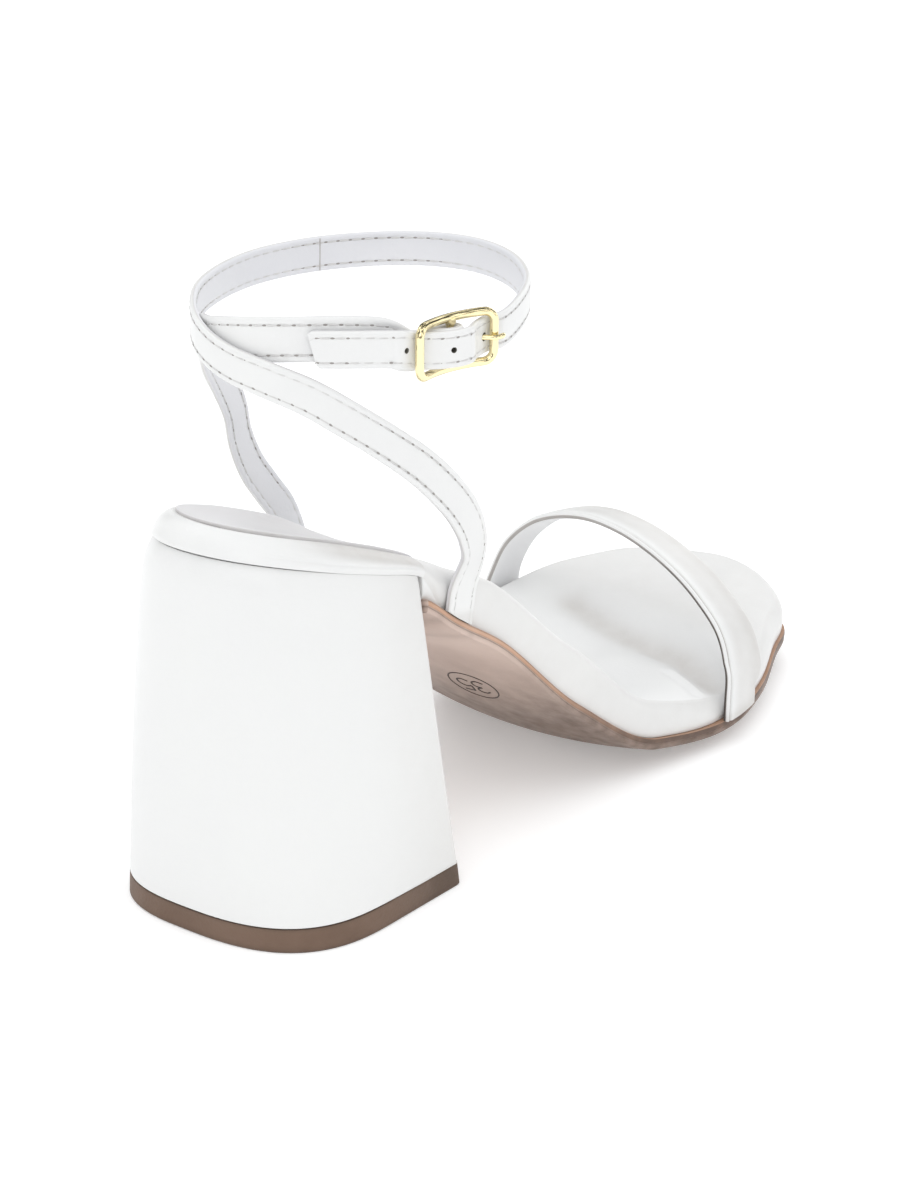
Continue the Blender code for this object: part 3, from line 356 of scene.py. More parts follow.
def curve(
    points: Sequence[Sequence[float]],
    before: Optional[Sequence[float]] = None,
    after: Optional[Sequence[float]] = None,
    per_span: int = 24,
) -> Array:
    """Draws a dense smooth curve through points of any number of columns.

    Args:
        points: The points; distances between them use their first three columns.
        before: A point before the first that sets the slope there.
        after: A point after the last that sets the slope there.
        per_span: Rows made between two points.

    Returns:
        The rows of the curve.
    """
    points = np.asarray(points, float)
    first = 2 * points[0] - points[1] if before is None else before
    last = 2 * points[-1] - points[-2] if after is None else after
    rows = np.vstack([first, points, last])
    knots = np.cumsum(np.sqrt(np.linalg.norm(np.diff(rows[:, :3], axis=0), axis=1)))
    spans = np.diff(np.concatenate([[0.0], knots]))[:, None]
    secants = np.diff(rows, axis=0) / spans
    slopes = (secants[:-1] * spans[1:] + secants[1:] * spans[:-1]) / (spans[1:] + spans[:-1])
    made = []
    for i in range(len(points) - 1):
        t = np.linspace(0, 1, per_span, endpoint=False)[:, None]
        made.append(
            (1 + 2 * t) * (1 - t) ** 2 * points[i]
            + t * (1 - t) ** 2 * spans[i + 1] * slopes[i]
            + t**2 * (3 - 2 * t) * points[i + 1]
            - t**2 * (1 - t) * spans[i + 1] * slopes[i + 1]
        )
    return np.vstack([*made, points[-1:]])


def lengths(path: Array) -> Array:
    """Distance along a path to each of its rows."""
    steps = np.linalg.norm(np.diff(path[:, :3], axis=0), axis=1)
    return np.concatenate([[0.0], np.cumsum(steps)])


def resample(path: Array, measure: Array, count: int) -> Array:
    """Rows of a path at even steps of a rising measure along it."""
    at = np.linspace(measure[0], measure[-1], count)
    return np.stack([np.interp(at, measure, column) for column in path.T], axis=1)


def with_height(points: Array, heights: Array) -> Array:
    """Plan points with a height each."""
    return np.column_stack([points, heights])


def closed_ring(lateral: Array, medial: Array) -> Array:
    """A loop: the back's middle, the outer side, the toe's middle, the inner side."""
    return np.vstack([lateral, medial[-2:0:-1]])


@dataclass(frozen=True)
class Last:
    """The last that the sandal is made on: its outline, its pitch and the height of its bed."""

    length: float = 0.2083
    ball_width: float = 0.0760
    seat_rise: float = 0.0728
    toe_spring: float = 0.0026
    crown: float = 0.0039
    edge_rise: float = 0.0034
    sole_thickness: float = 0.0029
    wall: float = 0.0110
    arch_rise: float = 0.0040
    dish: float = 0.0046
    ridge: float = 0.0060
    let_in: float = 0.0045
    front_y: float = 0.040
    spine: Pair = (0.125, 0.850)
    arch_power: float = 1.5
    slump_power: int = 4

    @cached_property
    def outlines(self) -> dict[Side, Array]:
        """The outline of each side, from the back's middle to the toe's."""
        return {side: self._outline(side) for side in Side}

    def _outline(self, side: Side) -> Array:
        """One side's outline as a dense plan curve.

        Args:
            side: The side of the foot.

        Returns:
            Its points.
        """

        def point(row: Width, of: Side) -> list[float]:
            """One station's point of a side's outline."""
            width = row.lateral if of is Side.LATERAL else row.medial
            return [row.along * self.length, of.value * width * self.ball_width]

        other = Side.MEDIAL if side is Side.LATERAL else Side.LATERAL
        front = [self.length, self.front_y * self.ball_width]
        points = [[0.0, 0.0], *(point(row, side) for row in WIDTHS), front]
        return curve(points, point(WIDTHS[0], other), point(WIDTHS[-1], other))

    def half_width(self, x: Array, side: Side) -> Array:
        """Width from the middle line to one side."""
        path = self.outlines[side]
        return np.interp(x, path[:, 0], path[:, 1] * side.value)

    def share_at(self, x: Array, name: str) -> Array:
        """One column of the stations at a place along the sole."""
        column = [getattr(row, name) for row in STATIONS]
        return through([row.along * self.length for row in STATIONS], column, x)

    def tread_edge(self, x: Array) -> Array:
        """Height of the outsole's lower edge."""
        pitch = self.seat_rise * self.share_at(x, "pitch")
        return self.edge_rise + pitch + self.toe_spring * self.share_at(x, "spring")

    def outsole_top(self, x: Array) -> Array:
        """Height of the outsole's upper edge."""
        return self.tread_edge(x) + self.sole_thickness

    def block_top(self, x: Array) -> Array:
        """Height of the heel block's top, which is let into the footbed."""
        return self.outsole_top(x) + self.let_in

    def sag(self, x: Array, y: Array) -> Array:
        """How far the sole's crown lowers its middle.

        Args:
            x: Places along the sole.
            y: Places across it.

        Returns:
            The depths.
        """
        lateral, medial = (self.half_width(x, side) for side in Side)
        width = np.maximum(np.where(y < 0, lateral, medial), LEAST_WIDTH)
        across = np.clip(np.abs(y) / width, 0.0, 1.0)
        return self.crown * self.share_at(x, "crown") * (1 - across**2)

    def spine_of(self, points: Array) -> Array:
        """The points of the middle line that plan points shrink towards."""
        start, end = (share * self.length for share in self.spine)
        return np.column_stack([np.clip(points[:, 0], start, end), np.zeros(len(points))])

    def drawn_in(self, points: Array, inset: Array) -> Array:
        """Plan points moved by a distance towards the spine.

        Args:
            points: Plan points.
            inset: How far to move them.

        Returns:
            The moved points.
        """
        spine = self.spine_of(points)
        reach = np.linalg.norm(points - spine, axis=1, keepdims=True)
        return spine + (points - spine) * (1 - np.reshape(inset, (-1, 1)) / reach)

    def shrunk(self, points: Array, share: float) -> Array:
        """Plan points moved to a share of their distance from the spine."""
        spine = self.spine_of(points)
        return spine + (points - spine) * share

    def reach_share(self, x: Array, y: Array) -> tuple[Array, Array]:
        """Says how far out plan points lie between the spine and the outline.

        Args:
            x: Places along the sole.
            y: Places across it.

        Returns:
            The share of the way out, and the whole way in metres.
        """
        spine = self.spine_of(np.column_stack([x, y]))[:, 0]
        distance, reach = np.hypot(x - spine, y), np.ones(len(x))
        for side, path in self.outlines.items():
            sign = side.value
            on_side = (y * sign > 0) | ((y == 0) & (sign > 0))
            straight = on_side & (spine == x)
            reach[straight] = self.half_width(x[straight], side)
            for end in (0, 1):
                pivot = self.spine[end] * self.length
                beyond = path[path[:, 0] < pivot] if end == 0 else path[path[:, 0] > pivot]
                angle = np.arctan2(beyond[:, 1] * sign, np.abs(beyond[:, 0] - pivot))
                order = np.argsort(angle)
                far = np.hypot(beyond[:, 0] - pivot, beyond[:, 1])
                here = on_side & ((x < pivot) if end == 0 else (x > pivot))
                at = np.arctan2(np.abs(y[here]), np.abs(x[here] - pivot))
                reach[here] = np.interp(at, angle[order], far[order])
        return distance / reach, reach

    def ridge_inset(self, x: Array) -> Array:
        """How far in from the outline the footbed's ridge lies."""
        return self.ridge * self.share_at(x, "ridge")

    def ridge_height(self, x: Array, y: Array) -> Array:
        """Height of the footbed's ridge, raised along the inner arch and slumped outside.

        Args:
            x: Places along the sole.
            y: Places across it.

        Returns:
            The heights.
        """
        lateral, medial = (np.maximum(self.half_width(x, side), LEAST_WIDTH) for side in Side)
        inner, outer = np.clip(y / medial, 0.0, 1.0), np.clip(-y / lateral, 0.0, 1.0)
        arch = self.arch_rise * self.share_at(x, "arch") * inner**self.arch_power
        slump = self.share_at(x, "slump") * outer**self.slump_power
        wall = self.wall * (self.share_at(x, "wall") - slump)
        return self.outsole_top(x) + wall + arch

    def bed_height(self, x: Array, y: Array) -> Array:
        """Height of the dished bed inside the ridge.

        Args:
            x: Places along the sole.
            y: Places across it.

        Returns:
            The heights.
        """
        share, reach = self.reach_share(x, y)
        ridge = 1 - self.ridge_inset(x) / reach
        hollow = np.clip(1 - (share / ridge) ** 2, 0.0, 1.0)
        return self.ridge_height(x, y) - self.dish * self.share_at(x, "dish") * hollow

    def between(self, path: Array, start: float, end: float, count: int) -> Array:
        """Even points of a plan curve between two places along the sole, both of them kept.

        Args:
            path: The curve.
            start: Where it starts.
            end: Where it ends.
            count: How many points.

        Returns:
            The points.
        """
        ends = [[x, np.interp(x, path[:, 0], path[:, 1])] for x in (start, end)]
        inside = path[(path[:, 0] > start) & (path[:, 0] < end)]
        part = np.vstack([ends[0], inside, ends[1]])
        return resample(part, lengths(part), count)


class Nodes:
    """Short calls for adding and joining the nodes of one tree."""

    def __init__(self, tree: bpy.types.NodeTree) -> None:
        """Takes the tree to work on."""
        self.tree = tree

    def add(self, kind: str, values: Optional[Values] = None, **settings: object) -> Node:
        """Adds a node.

        Args:
            kind: Its type, without the leading ShaderNode.
            values: Input names with a plain value or a socket to join.
            settings: Its own settings.

        Returns:
            The node.
        """
        node = self.tree.nodes.new(kind if kind.startswith("Node") else f"ShaderNode{kind}")
        for name, value in settings.items():
            setattr(node, name, value)
        return self.fill(node, values or {})

    def fill(self, node: Node, values: Values) -> Node:
        """Sets or joins inputs of a node.

        Args:
            node: The node.
            values: Input names with a plain value or a socket to join.

        Returns:
            The same node.
        """
        for name, value in values.items():
            if isinstance(value, Socket):
                self.tree.links.new(value, node.inputs[name])
            else:
                node.inputs[name].default_value = value
        return node

    def math(
        self, operation: str, first: object, second: object, third: float = 0.5
    ) -> Socket:
        """The result of a sum on values or sockets."""
        return self.add("Math", {0: first, 1: second, 2: third}, operation=operation).outputs[0]

    def mix(self, share: object, first: object, second: object) -> Socket:
        """A colour between two colours."""
        node = self.add("Mix", {0: share, 6: first, 7: second}, data_type="RGBA")
        return node.outputs[2]

    def ramp(self, value: object, low: float, high: float) -> Socket:
        """0 below the low value, 1 above the high one."""
        names = {"Value": value, "From Min": low, "From Max": high}
        return self.add("MapRange", names, interpolation_type="SMOOTHSTEP").outputs[0]


class Effect(Enum):
    """The shader node groups that more than one finish uses."""

    GRAIN = "Fine grain"
    DRIFT = "Colour drift"
    # The group that darkens by each point's mask: painted shade, and dark seams and lines.
    SHADE_AND_LINES = "Soil in the creases"


class Kind(Enum):
    """What a socket of a node group carries."""

    PLACE = "NodeSocketVector"
    NUMBER = "NodeSocketFloat"
    COLOUR = "NodeSocketColor"


class Effects:
    """Builds each node group once."""

    made: dict[Effect, bpy.types.NodeTree] = {}
    wrinkle_scale: float = 0.45
    drift_span: Pair = (0.32, 0.72)
    shade_and_lines_scale: float = 260.0
    shade_and_lines_break: Pair = (0.7, 0.65)

    @classmethod
    def get(cls, effect: Effect) -> bpy.types.NodeTree:
        """The node group of an effect.

        Args:
            effect: The effect.

        Returns:
            The group, built on its first use.
        """
        if effect not in cls.made:
            build = {
                Effect.GRAIN: cls._grain,
                Effect.DRIFT: cls._drift,
                Effect.SHADE_AND_LINES: cls._shade_and_lines,
            }
            cls.made[effect] = build[effect](effect.value)
        return cls.made[effect]

    @staticmethod
    def _open(name: str, takes: dict[str, Kind], gives: dict[str, Kind]) -> tuple[Nodes, dict]:
        """Starts a group.

        Args:
            name: Its name.
            takes: Its inputs with their socket kinds.
            gives: Its outputs with their socket kinds.

        Returns:
            Its nodes, and the sockets of its inputs by name.
        """
        tree = bpy.data.node_groups.new(name, "ShaderNodeTree")
        for way, sockets in (("INPUT", takes), ("OUTPUT", gives)):
            for socket, kind in sockets.items():
                tree.interface.new_socket(socket, in_out=way, socket_type=kind.value)
        nodes = Nodes(tree)
        taken = nodes.add("NodeGroupInput").outputs
        return nodes, {socket: taken[socket] for socket in takes}

    @classmethod
    def _grain(cls, name: str) -> bpy.types.NodeTree:
        """Pores and fine wrinkles of a smooth coated skin.

        Args:
            name: The group's name.

        Returns:
            The group.
        """
        kinds = {"Place": Kind.PLACE, "Scale": Kind.NUMBER, "Pores": Kind.NUMBER}
        nodes, taken = cls._open(name, kinds, {"Height": Kind.NUMBER})
        cells = nodes.add(
            "TexVoronoi",
            {"Vector": taken["Place"], "Scale": taken["Scale"], "Randomness": 0.9},
            feature="SMOOTH_F1",
        )
        scale = nodes.math("MULTIPLY", taken["Scale"], cls.wrinkle_scale)
        fine = {"Vector": taken["Place"], "Scale": scale, "Detail": 4.0, "Roughness": 0.6}
        noise = nodes.add("TexNoise", fine)
        pores = nodes.math("MULTIPLY", cells.outputs["Distance"], taken["Pores"])
        height = nodes.math("ADD", pores, noise.outputs["Fac"])
        nodes.add("NodeGroupOutput", {"Height": height})
        return nodes.tree

    @classmethod
    def _drift(cls, name: str) -> bpy.types.NodeTree:
        """A colour that wanders softly over the surface.

        Args:
            name: The group's name.

        Returns:
            The group.
        """
        colours = {"Colour": Kind.COLOUR, "Second": Kind.COLOUR}
        kinds = {"Place": Kind.PLACE, **colours, "Scale": Kind.NUMBER}
        gives = {"Colour": Kind.COLOUR, "Mask": Kind.NUMBER}
        nodes, taken = cls._open(name, kinds, gives)
        values = {"Vector": taken["Place"], "Scale": taken["Scale"], "Detail": 3.0}
        noise = nodes.add("TexNoise", {**values, "Roughness": 0.55})
        mask = nodes.ramp(noise.outputs["Fac"], *cls.drift_span)
        mixed = nodes.mix(mask, taken["Colour"], taken["Second"])
        nodes.add("NodeGroupOutput", {"Colour": mixed, "Mask": mask})
        return nodes.tree

    @classmethod
    def _shade_and_lines(cls, name: str) -> bpy.types.NodeTree:
        """A darker tone wherever each point's mask asks for it: painted shade, and dark seams and
        lines.

        Args:
            name: The group's name.

        Returns:
            The group.
        """
        colours = {"Colour": Kind.COLOUR, "Shade and lines": Kind.COLOUR}
        kinds = {"Place": Kind.PLACE, **colours, "Amount": Kind.NUMBER}
        gives = {"Colour": Kind.COLOUR, "Mask": Kind.NUMBER}
        nodes, taken = cls._open(name, kinds, gives)
        shade_lines_mask = nodes.add("Attribute", attribute_name="shade_lines_mask").outputs["Fac"]
        values = {"Vector": taken["Place"], "Scale": cls.shade_and_lines_scale, "Detail": 5.0}
        noise = nodes.add("TexNoise", values)
        broken = nodes.math("MULTIPLY_ADD", noise.outputs["Fac"], *cls.shade_and_lines_break)
        mask = nodes.math("MULTIPLY", nodes.math("MULTIPLY", shade_lines_mask, taken["Amount"]), broken)
        mixed = nodes.mix(mask, taken["Colour"], taken["Shade and lines"])
        nodes.add("NodeGroupOutput", {"Colour": mixed, "Mask": mask})
        return nodes.tree


WHITE = (1.0, 1.0, 1.0)


def opaque(colour: Colour) -> tuple[float, float, float, float]:
    """A colour with full alpha."""
    return (*colour, 1.0)


@dataclass(frozen=True)
class Finish:
    """What every finish has: a name, a colour and a gloss."""

    name: str
    colour: Colour
    roughness: float

    def material(self) -> bpy.types.Material:
        """The finish's material, built on its first use.

        Returns:
            The material.
        """
        found = bpy.data.materials.get(self.name)
        if found is None:
            found = bpy.data.materials.new(self.name)
            found.use_nodes = True
            found.node_tree.nodes.clear()
            nodes = Nodes(found.node_tree)
            values = {"Roughness": self.roughness, "Base Color": opaque(self.colour)}
            shader = nodes.add("BsdfPrincipled", values)
            nodes.add("OutputMaterial", {"Surface": shader.outputs["BSDF"]})
            found.diffuse_color = opaque(self.colour)
            self.detail(nodes, shader)
        return found

    def detail(self, nodes: Nodes, shader: Node) -> None:
        """Adds what is particular to the finish; the plain one has nothing more."""

    @staticmethod
    def effect(nodes: Nodes, effect: Effect, values: Values) -> Node:
        """Places a shared node group with its own values."""
        return nodes.add("Group", values, node_tree=Effects.get(effect))


@dataclass(frozen=True)
class Skin(Finish):
    """A coated skin, lining or rubber: two close colours, fine grain, and a masked darker tone,
    mostly painted shade.
    """

    second: Colour
    # The colour and strength of the masked darker tone: painted shade, and dark seams and lines.
    shade_and_lines: Colour = (0.42, 0.38, 0.34)
    shade_and_lines_amount: float = 0.5
    drift: float = 26.0
    grain: float = 1500.0
    pores: float = 0.8
    depth: float = 0.000035
    gloss_drift: float = 0.10
    coat: float = 0.0
    coat_roughness: float = 0.3

    def detail(self, nodes: Nodes, shader: Node) -> None:
        """Colour drift, a masked darker tone of painted shade and dark lines, grain and a gloss
        that varies a little.

        Args:
            nodes: The nodes of the material.
            shader: Its shader.
        """
        place = nodes.add("TexCoord").outputs["Object"]
        colours = {"Colour": opaque(self.colour), "Second": opaque(self.second)}
        drift = self.effect(nodes, Effect.DRIFT, {"Place": place, "Scale": self.drift, **colours})
        values = {"Place": place, "Colour": drift.outputs["Colour"]}
        values |= {"Shade and lines": opaque(self.shade_and_lines), "Amount": self.shade_and_lines_amount}
        shade_and_lines = self.effect(nodes, Effect.SHADE_AND_LINES, values)
        values = {"Place": place, "Scale": self.grain, "Pores": self.pores}
        grain = self.effect(nodes, Effect.GRAIN, values)
        smoothest = self.roughness - self.gloss_drift / 2
        mask = drift.outputs["Mask"]
        rough = nodes.math("MULTIPLY_ADD", mask, self.gloss_drift, smoothest)
        bump = nodes.add("Bump", {"Height": grain.outputs["Height"], "Distance": self.depth})
        values = {"Base Color": shade_and_lines.outputs["Colour"], "Roughness": rough}
        values |= {"Normal": bump.outputs["Normal"], "Coat Weight": self.coat}
        nodes.fill(shader, {**values, "Coat Roughness": self.coat_roughness})


@dataclass(frozen=True)
class Plate(Finish):
    """Polished plating with a little haze and fine rubbing."""

    haze: float = 0.10
    haze_scale: float = 420.0
    rub_scale: Triple = (300.0, 300.0, 5200.0)
    rub_depth: float = 0.000006

    def detail(self, nodes: Nodes, shader: Node) -> None:
        """Gloss that clouds a little, over fine scratches.

        Args:
            nodes: The nodes of the material.
            shader: Its shader.
        """
        place = nodes.add("TexCoord").outputs["Object"]
        values = {"Vector": place, "Scale": self.haze_scale, "Detail": 4.0}
        cloud = nodes.add("TexNoise", values).outputs["Fac"]
        rough = nodes.math("MULTIPLY_ADD", cloud, self.haze, self.roughness - self.haze / 2)
        stretch = nodes.add("Mapping", {"Vector": place, "Scale": self.rub_scale})
        rub = nodes.add("TexNoise", {"Vector": stretch.outputs[0], "Scale": 1.0, "Detail": 3.0})
        bump = nodes.add("Bump", {"Height": rub.outputs["Fac"], "Distance": self.rub_depth})
        values = {"Metallic": 1.0, "Roughness": rough, "Normal": bump.outputs["Normal"]}
        nodes.fill(shader, values)


@dataclass(frozen=True)
class Yarn(Finish):
    """Twisted sewing thread."""

    fleck_scale: float = 900.0
    fleck_tone: float = 0.82
    twist_scale: float = 1600.0
    twist_depth: float = 0.00004

    def detail(self, nodes: Nodes, shader: Node) -> None:
        """The twist as fine ridges, and a soft colour change along it.

        Args:
            nodes: The nodes of the material.
            shader: Its shader.
        """
        place = nodes.add("TexCoord").outputs["Object"]
        values = {"Vector": place, "Scale": self.fleck_scale, "Detail": 2.0}
        noise = nodes.add("TexNoise", values)
        darker = opaque(tuple(part * self.fleck_tone for part in self.colour))
        mixed = nodes.mix(noise.outputs["Fac"], opaque(self.colour), darker)
        values = {"Vector": place, "Scale": self.twist_scale, "Distortion": 1.0}
        wave = nodes.add("TexWave", values)
        bump = nodes.add("Bump", {"Height": wave.outputs["Fac"], "Distance": self.twist_depth})
        nodes.fill(shader, {"Base Color": mixed, "Normal": bump.outputs["Normal"]})


@dataclass(frozen=True)
class Paper(Finish):
    """The studio's pale seamless paper, lit from behind."""

    glow: float = 0.26
    tooth_scale: float = 240.0
    tooth_depth: float = 0.00002

    def detail(self, nodes: Nodes, shader: Node) -> None:
        """A faint tooth, and the light that comes through.

        Args:
            nodes: The nodes of the material.
            shader: Its shader.
        """
        place = nodes.add("TexCoord").outputs["Object"]
        values = {"Vector": place, "Scale": self.tooth_scale, "Detail": 3.0}
        noise = nodes.add("TexNoise", values)
        bump = nodes.add("Bump", {"Height": noise.outputs["Fac"], "Distance": self.tooth_depth})
        values = {"Emission Color": opaque(WHITE), "Emission Strength": self.glow}
        nodes.fill(shader, {**values, "Normal": bump.outputs["Normal"]})


WHITE_SKIN = Skin("white_skin", (0.80, 0.80, 0.79), 0.40, (0.77, 0.77, 0.765), coat=0.12)
HEEL_SKIN = Skin("heel_skin", (0.79, 0.79, 0.78), 0.38, (0.77, 0.77, 0.765), coat=0.12, drift=14.0)
LINING = Skin("grey_lining", (0.755, 0.755, 0.775), 0.55, (0.71, 0.71, 0.735), pores=1.2)
# The toe strap's lining: the grey lining painted lighter, to make up for the shade under the strap.
TOE_LINING_PAINTED_LIGHT = Skin("toe_lining_painted_light", (0.87, 0.87, 0.88), 0.55, (0.85, 0.85, 0.86), pores=1.2)
SOCK_SKIN = Skin(
    "sock_skin", (0.75, 0.74, 0.745), 0.48, (0.72, 0.71, 0.715), shade_and_lines=(0.34, 0.31, 0.29)
)
SOLE_SKIN = Skin(
    "sole_underside",
    (0.73, 0.57, 0.49),
    0.50,
    (0.61, 0.47, 0.405),
    shade_and_lines=(0.15, 0.10, 0.075),
    shade_and_lines_amount=0.9,
    drift=34.0,
    grain=1100.0,
    depth=0.00006,
)
SOLE_EDGE = Skin(
    "sole_edge",
    (0.60, 0.365, 0.245),
    0.48,
    (0.52, 0.305, 0.20),
    shade_and_lines=(0.11, 0.066, 0.045),
    shade_and_lines_amount=1.0,
    drift=60.0,
    grain=1300.0,
)
TOP_RUBBER = Skin(
    "top_piece_rubber",
    (0.165, 0.100, 0.066),
    0.56,
    (0.140, 0.084, 0.055),
    shade_and_lines=(0.03, 0.02, 0.012),
    drift=70.0,
    grain=1700.0,
    pores=1.4,
    depth=0.00005,
)
GOLD = Plate("pale_gold_plate", (0.94, 0.82, 0.50), 0.13)
THREAD = Yarn("sewing_thread", (0.72, 0.71, 0.70), 0.75)
# Needle holes: dark discs of painted shade.
NEEDLE_HOLE_SHADE = Finish("needle_hole_shade", (0.33, 0.31, 0.295), 0.9)
SEAM_SHADE = Skin("seam_channel", (0.50, 0.47, 0.45), 0.85, (0.44, 0.41, 0.39))
# The toe strap's rear cut edge: its own dark tone, with painted shade that fades along the strap.
CUT_EDGE_AND_SHADE = Skin(
    "cut_edge_and_shade",
    (0.56, 0.53, 0.51),
    0.80,
    (0.48, 0.45, 0.43),
    shade_and_lines=(0.035, 0.024, 0.018),
    shade_and_lines_amount=1.0,
)
# Painted shade in punched holes: on their walls and on plugs inside them.
PUNCHED_HOLE_SHADE = Finish("punched_hole_shade", (0.15, 0.145, 0.12), 0.9)
MARK_INK = Skin("stamped_mark", (0.035, 0.020, 0.014), 0.55, (0.05, 0.03, 0.02))
FLOOR_PAPER = Paper("floor_paper", (0.86, 0.86, 0.86), 0.9)


class Shell:
    """Points and faces gathered for one mesh."""

    def __init__(self) -> None:
        """Starts with nothing."""
        self.points: list[Array] = []
        self.shade_lines_masks: list[Array] = []
        self.faces: list[list[int]] = []
        self.slots: list[int] = []
        self.count = 0

    def add(self, points: Array, faces: Sequence[Sequence[int]], slot: int = 0) -> None:
        """Adds points of the last's frame with faces that count from the first of them.

        Args:
            points: The points.
            faces: The corners of each face.
            slot: Their material slot.
        """
        self.points.append(np.asarray(points))
        self.shade_lines_masks.append(np.zeros(len(points)))
        self.faces += [[self.count + corner for corner in face] for face in faces]
        self.slots += [slot] * len(faces)
        self.count += len(points)

    def add_rings(
        self,
        rings: Array,
        slots: Optional[Array] = None,
        shade_lines_mask: Optional[Array] = None,
        folded_caps: bool = False,
        closed: bool = False,
    ) -> None:
        """Adds a skin through rings of the same count.

        Args:
            rings: Points as rings, places around and three columns.
            slots: The material slot of each quad, by ring and place around.
            shade_lines_mask: How dark each point is painted, as painted shade or dark lines, by
                ring and place around.
            folded_caps: Whether an end is filled by quads across it and not by one face.
            closed: Whether the last ring joins the first.
        """
        rings = np.asarray(rings)
        count, around = rings.shape[:2]
        here = np.arange(around)
        there = (here + 1) % around
        bands = []
        for ring in range(count if closed else count - 1):
            low, high = ring * around, (ring + 1) % count * around
            bands.append(np.stack([low + here, low + there, high + there, high + here], axis=1))
        quads = np.concatenate(bands)
        start = self.count
        self.points.append(rings.reshape(-1, 3))
        self.shade_lines_masks.append(np.zeros(count * around) if shade_lines_mask is None else shade_lines_mask.reshape(-1))
        self.faces += (quads + start).tolist()
        kinds = np.zeros(len(quads), int) if slots is None else slots.reshape(-1)
        self.slots += kinds.tolist()
        self.count += count * around
        if closed:
            return
        for base, kind in ((0, kinds[0]), ((count - 1) * around, kinds[-1])):
            made = self._cap(start + base, around) if folded_caps else None
            made = made or [list(range(start + base, start + base + around))]
            self.faces += made
            self.slots += [int(kind)] * len(made)

    @staticmethod
    def _cap(base: int, count: int) -> list[list[int]]:
        """Quads across a ring that runs up one side and back down the other.

        Args:
            base: The ring's first point.
            count: How many points it has.

        Returns:
            The corners of each face.
        """
        half = count // 2
        made = [[base, base + 1, base + count - 1]]
        for i in range(1, half - 1):
            made.append([base + i, base + i + 1, base + count - i - 1, base + count - i])
        made.append([base + half - 1, base + half, base + half + 1])
        return made

    def make(self, name: str, finishes: Sequence[Finish], sharp: float = 40.0) -> Piece:
        """Makes the object.

        Args:
            name: Its name.
            finishes: The finish of each material slot.
            sharp: The angle in degrees from which an edge is left sharp.

        Returns:
            The object, in the part's frame, with its normals facing out.
        """
        mesh = bpy.data.meshes.new(name)
        mesh.from_pydata((np.vstack(self.points) + ORIGIN).tolist(), [], self.faces)
        for finish in finishes:
            mesh.materials.append(finish.material())
        mesh.polygons.foreach_set("material_index", self.slots)
        # Each point's mask of painted shade and dark lines, which the finishes read.
        attribute = mesh.attributes.new("shade_lines_mask", "FLOAT", "POINT")
        attribute.data.foreach_set("value", np.concatenate(self.shade_lines_masks))
        work = bmesh.new()
        work.from_mesh(mesh)
        bmesh.ops.recalc_face_normals(work, faces=work.faces)
        work.to_mesh(mesh)
        work.free()
        mesh.shade_smooth()
        mesh.set_sharp_from_angle(angle=math.radians(sharp))
        made = bpy.data.objects.new(name, mesh)
        bpy.context.scene.collection.objects.link(made)
        return made


def rod_rings(
    points: Array, radius: Array, guide: Array, sides: int = 20, closed: bool = False
) -> Array:
    """Works out the rings of a round rod.

    Args:
        points: Its middle line.
        radius: One radius, or one for each point.
        guide: A direction that the rod never runs along.
        sides: Places around it.
        closed: Whether it closes on itself.

    Returns:
        The rings.
    """
    points = np.asarray(points, float)
    if closed:
        tangent = unit(np.roll(points, -1, axis=0) - np.roll(points, 1, axis=0))
    else:
        tangent = unit(np.gradient(points, axis=0))
    first = unit(guide - tangent * (tangent @ guide)[:, None])
    second = np.cross(tangent, first)
    turns = 2 * math.pi * np.arange(sides) / sides
    spokes = first[:, None] * np.cos(turns)[:, None] + second[:, None] * np.sin(turns)[:, None]
    return points[:, None] + spokes * np.reshape(np.broadcast_to(radius, len(points)), (-1, 1, 1))


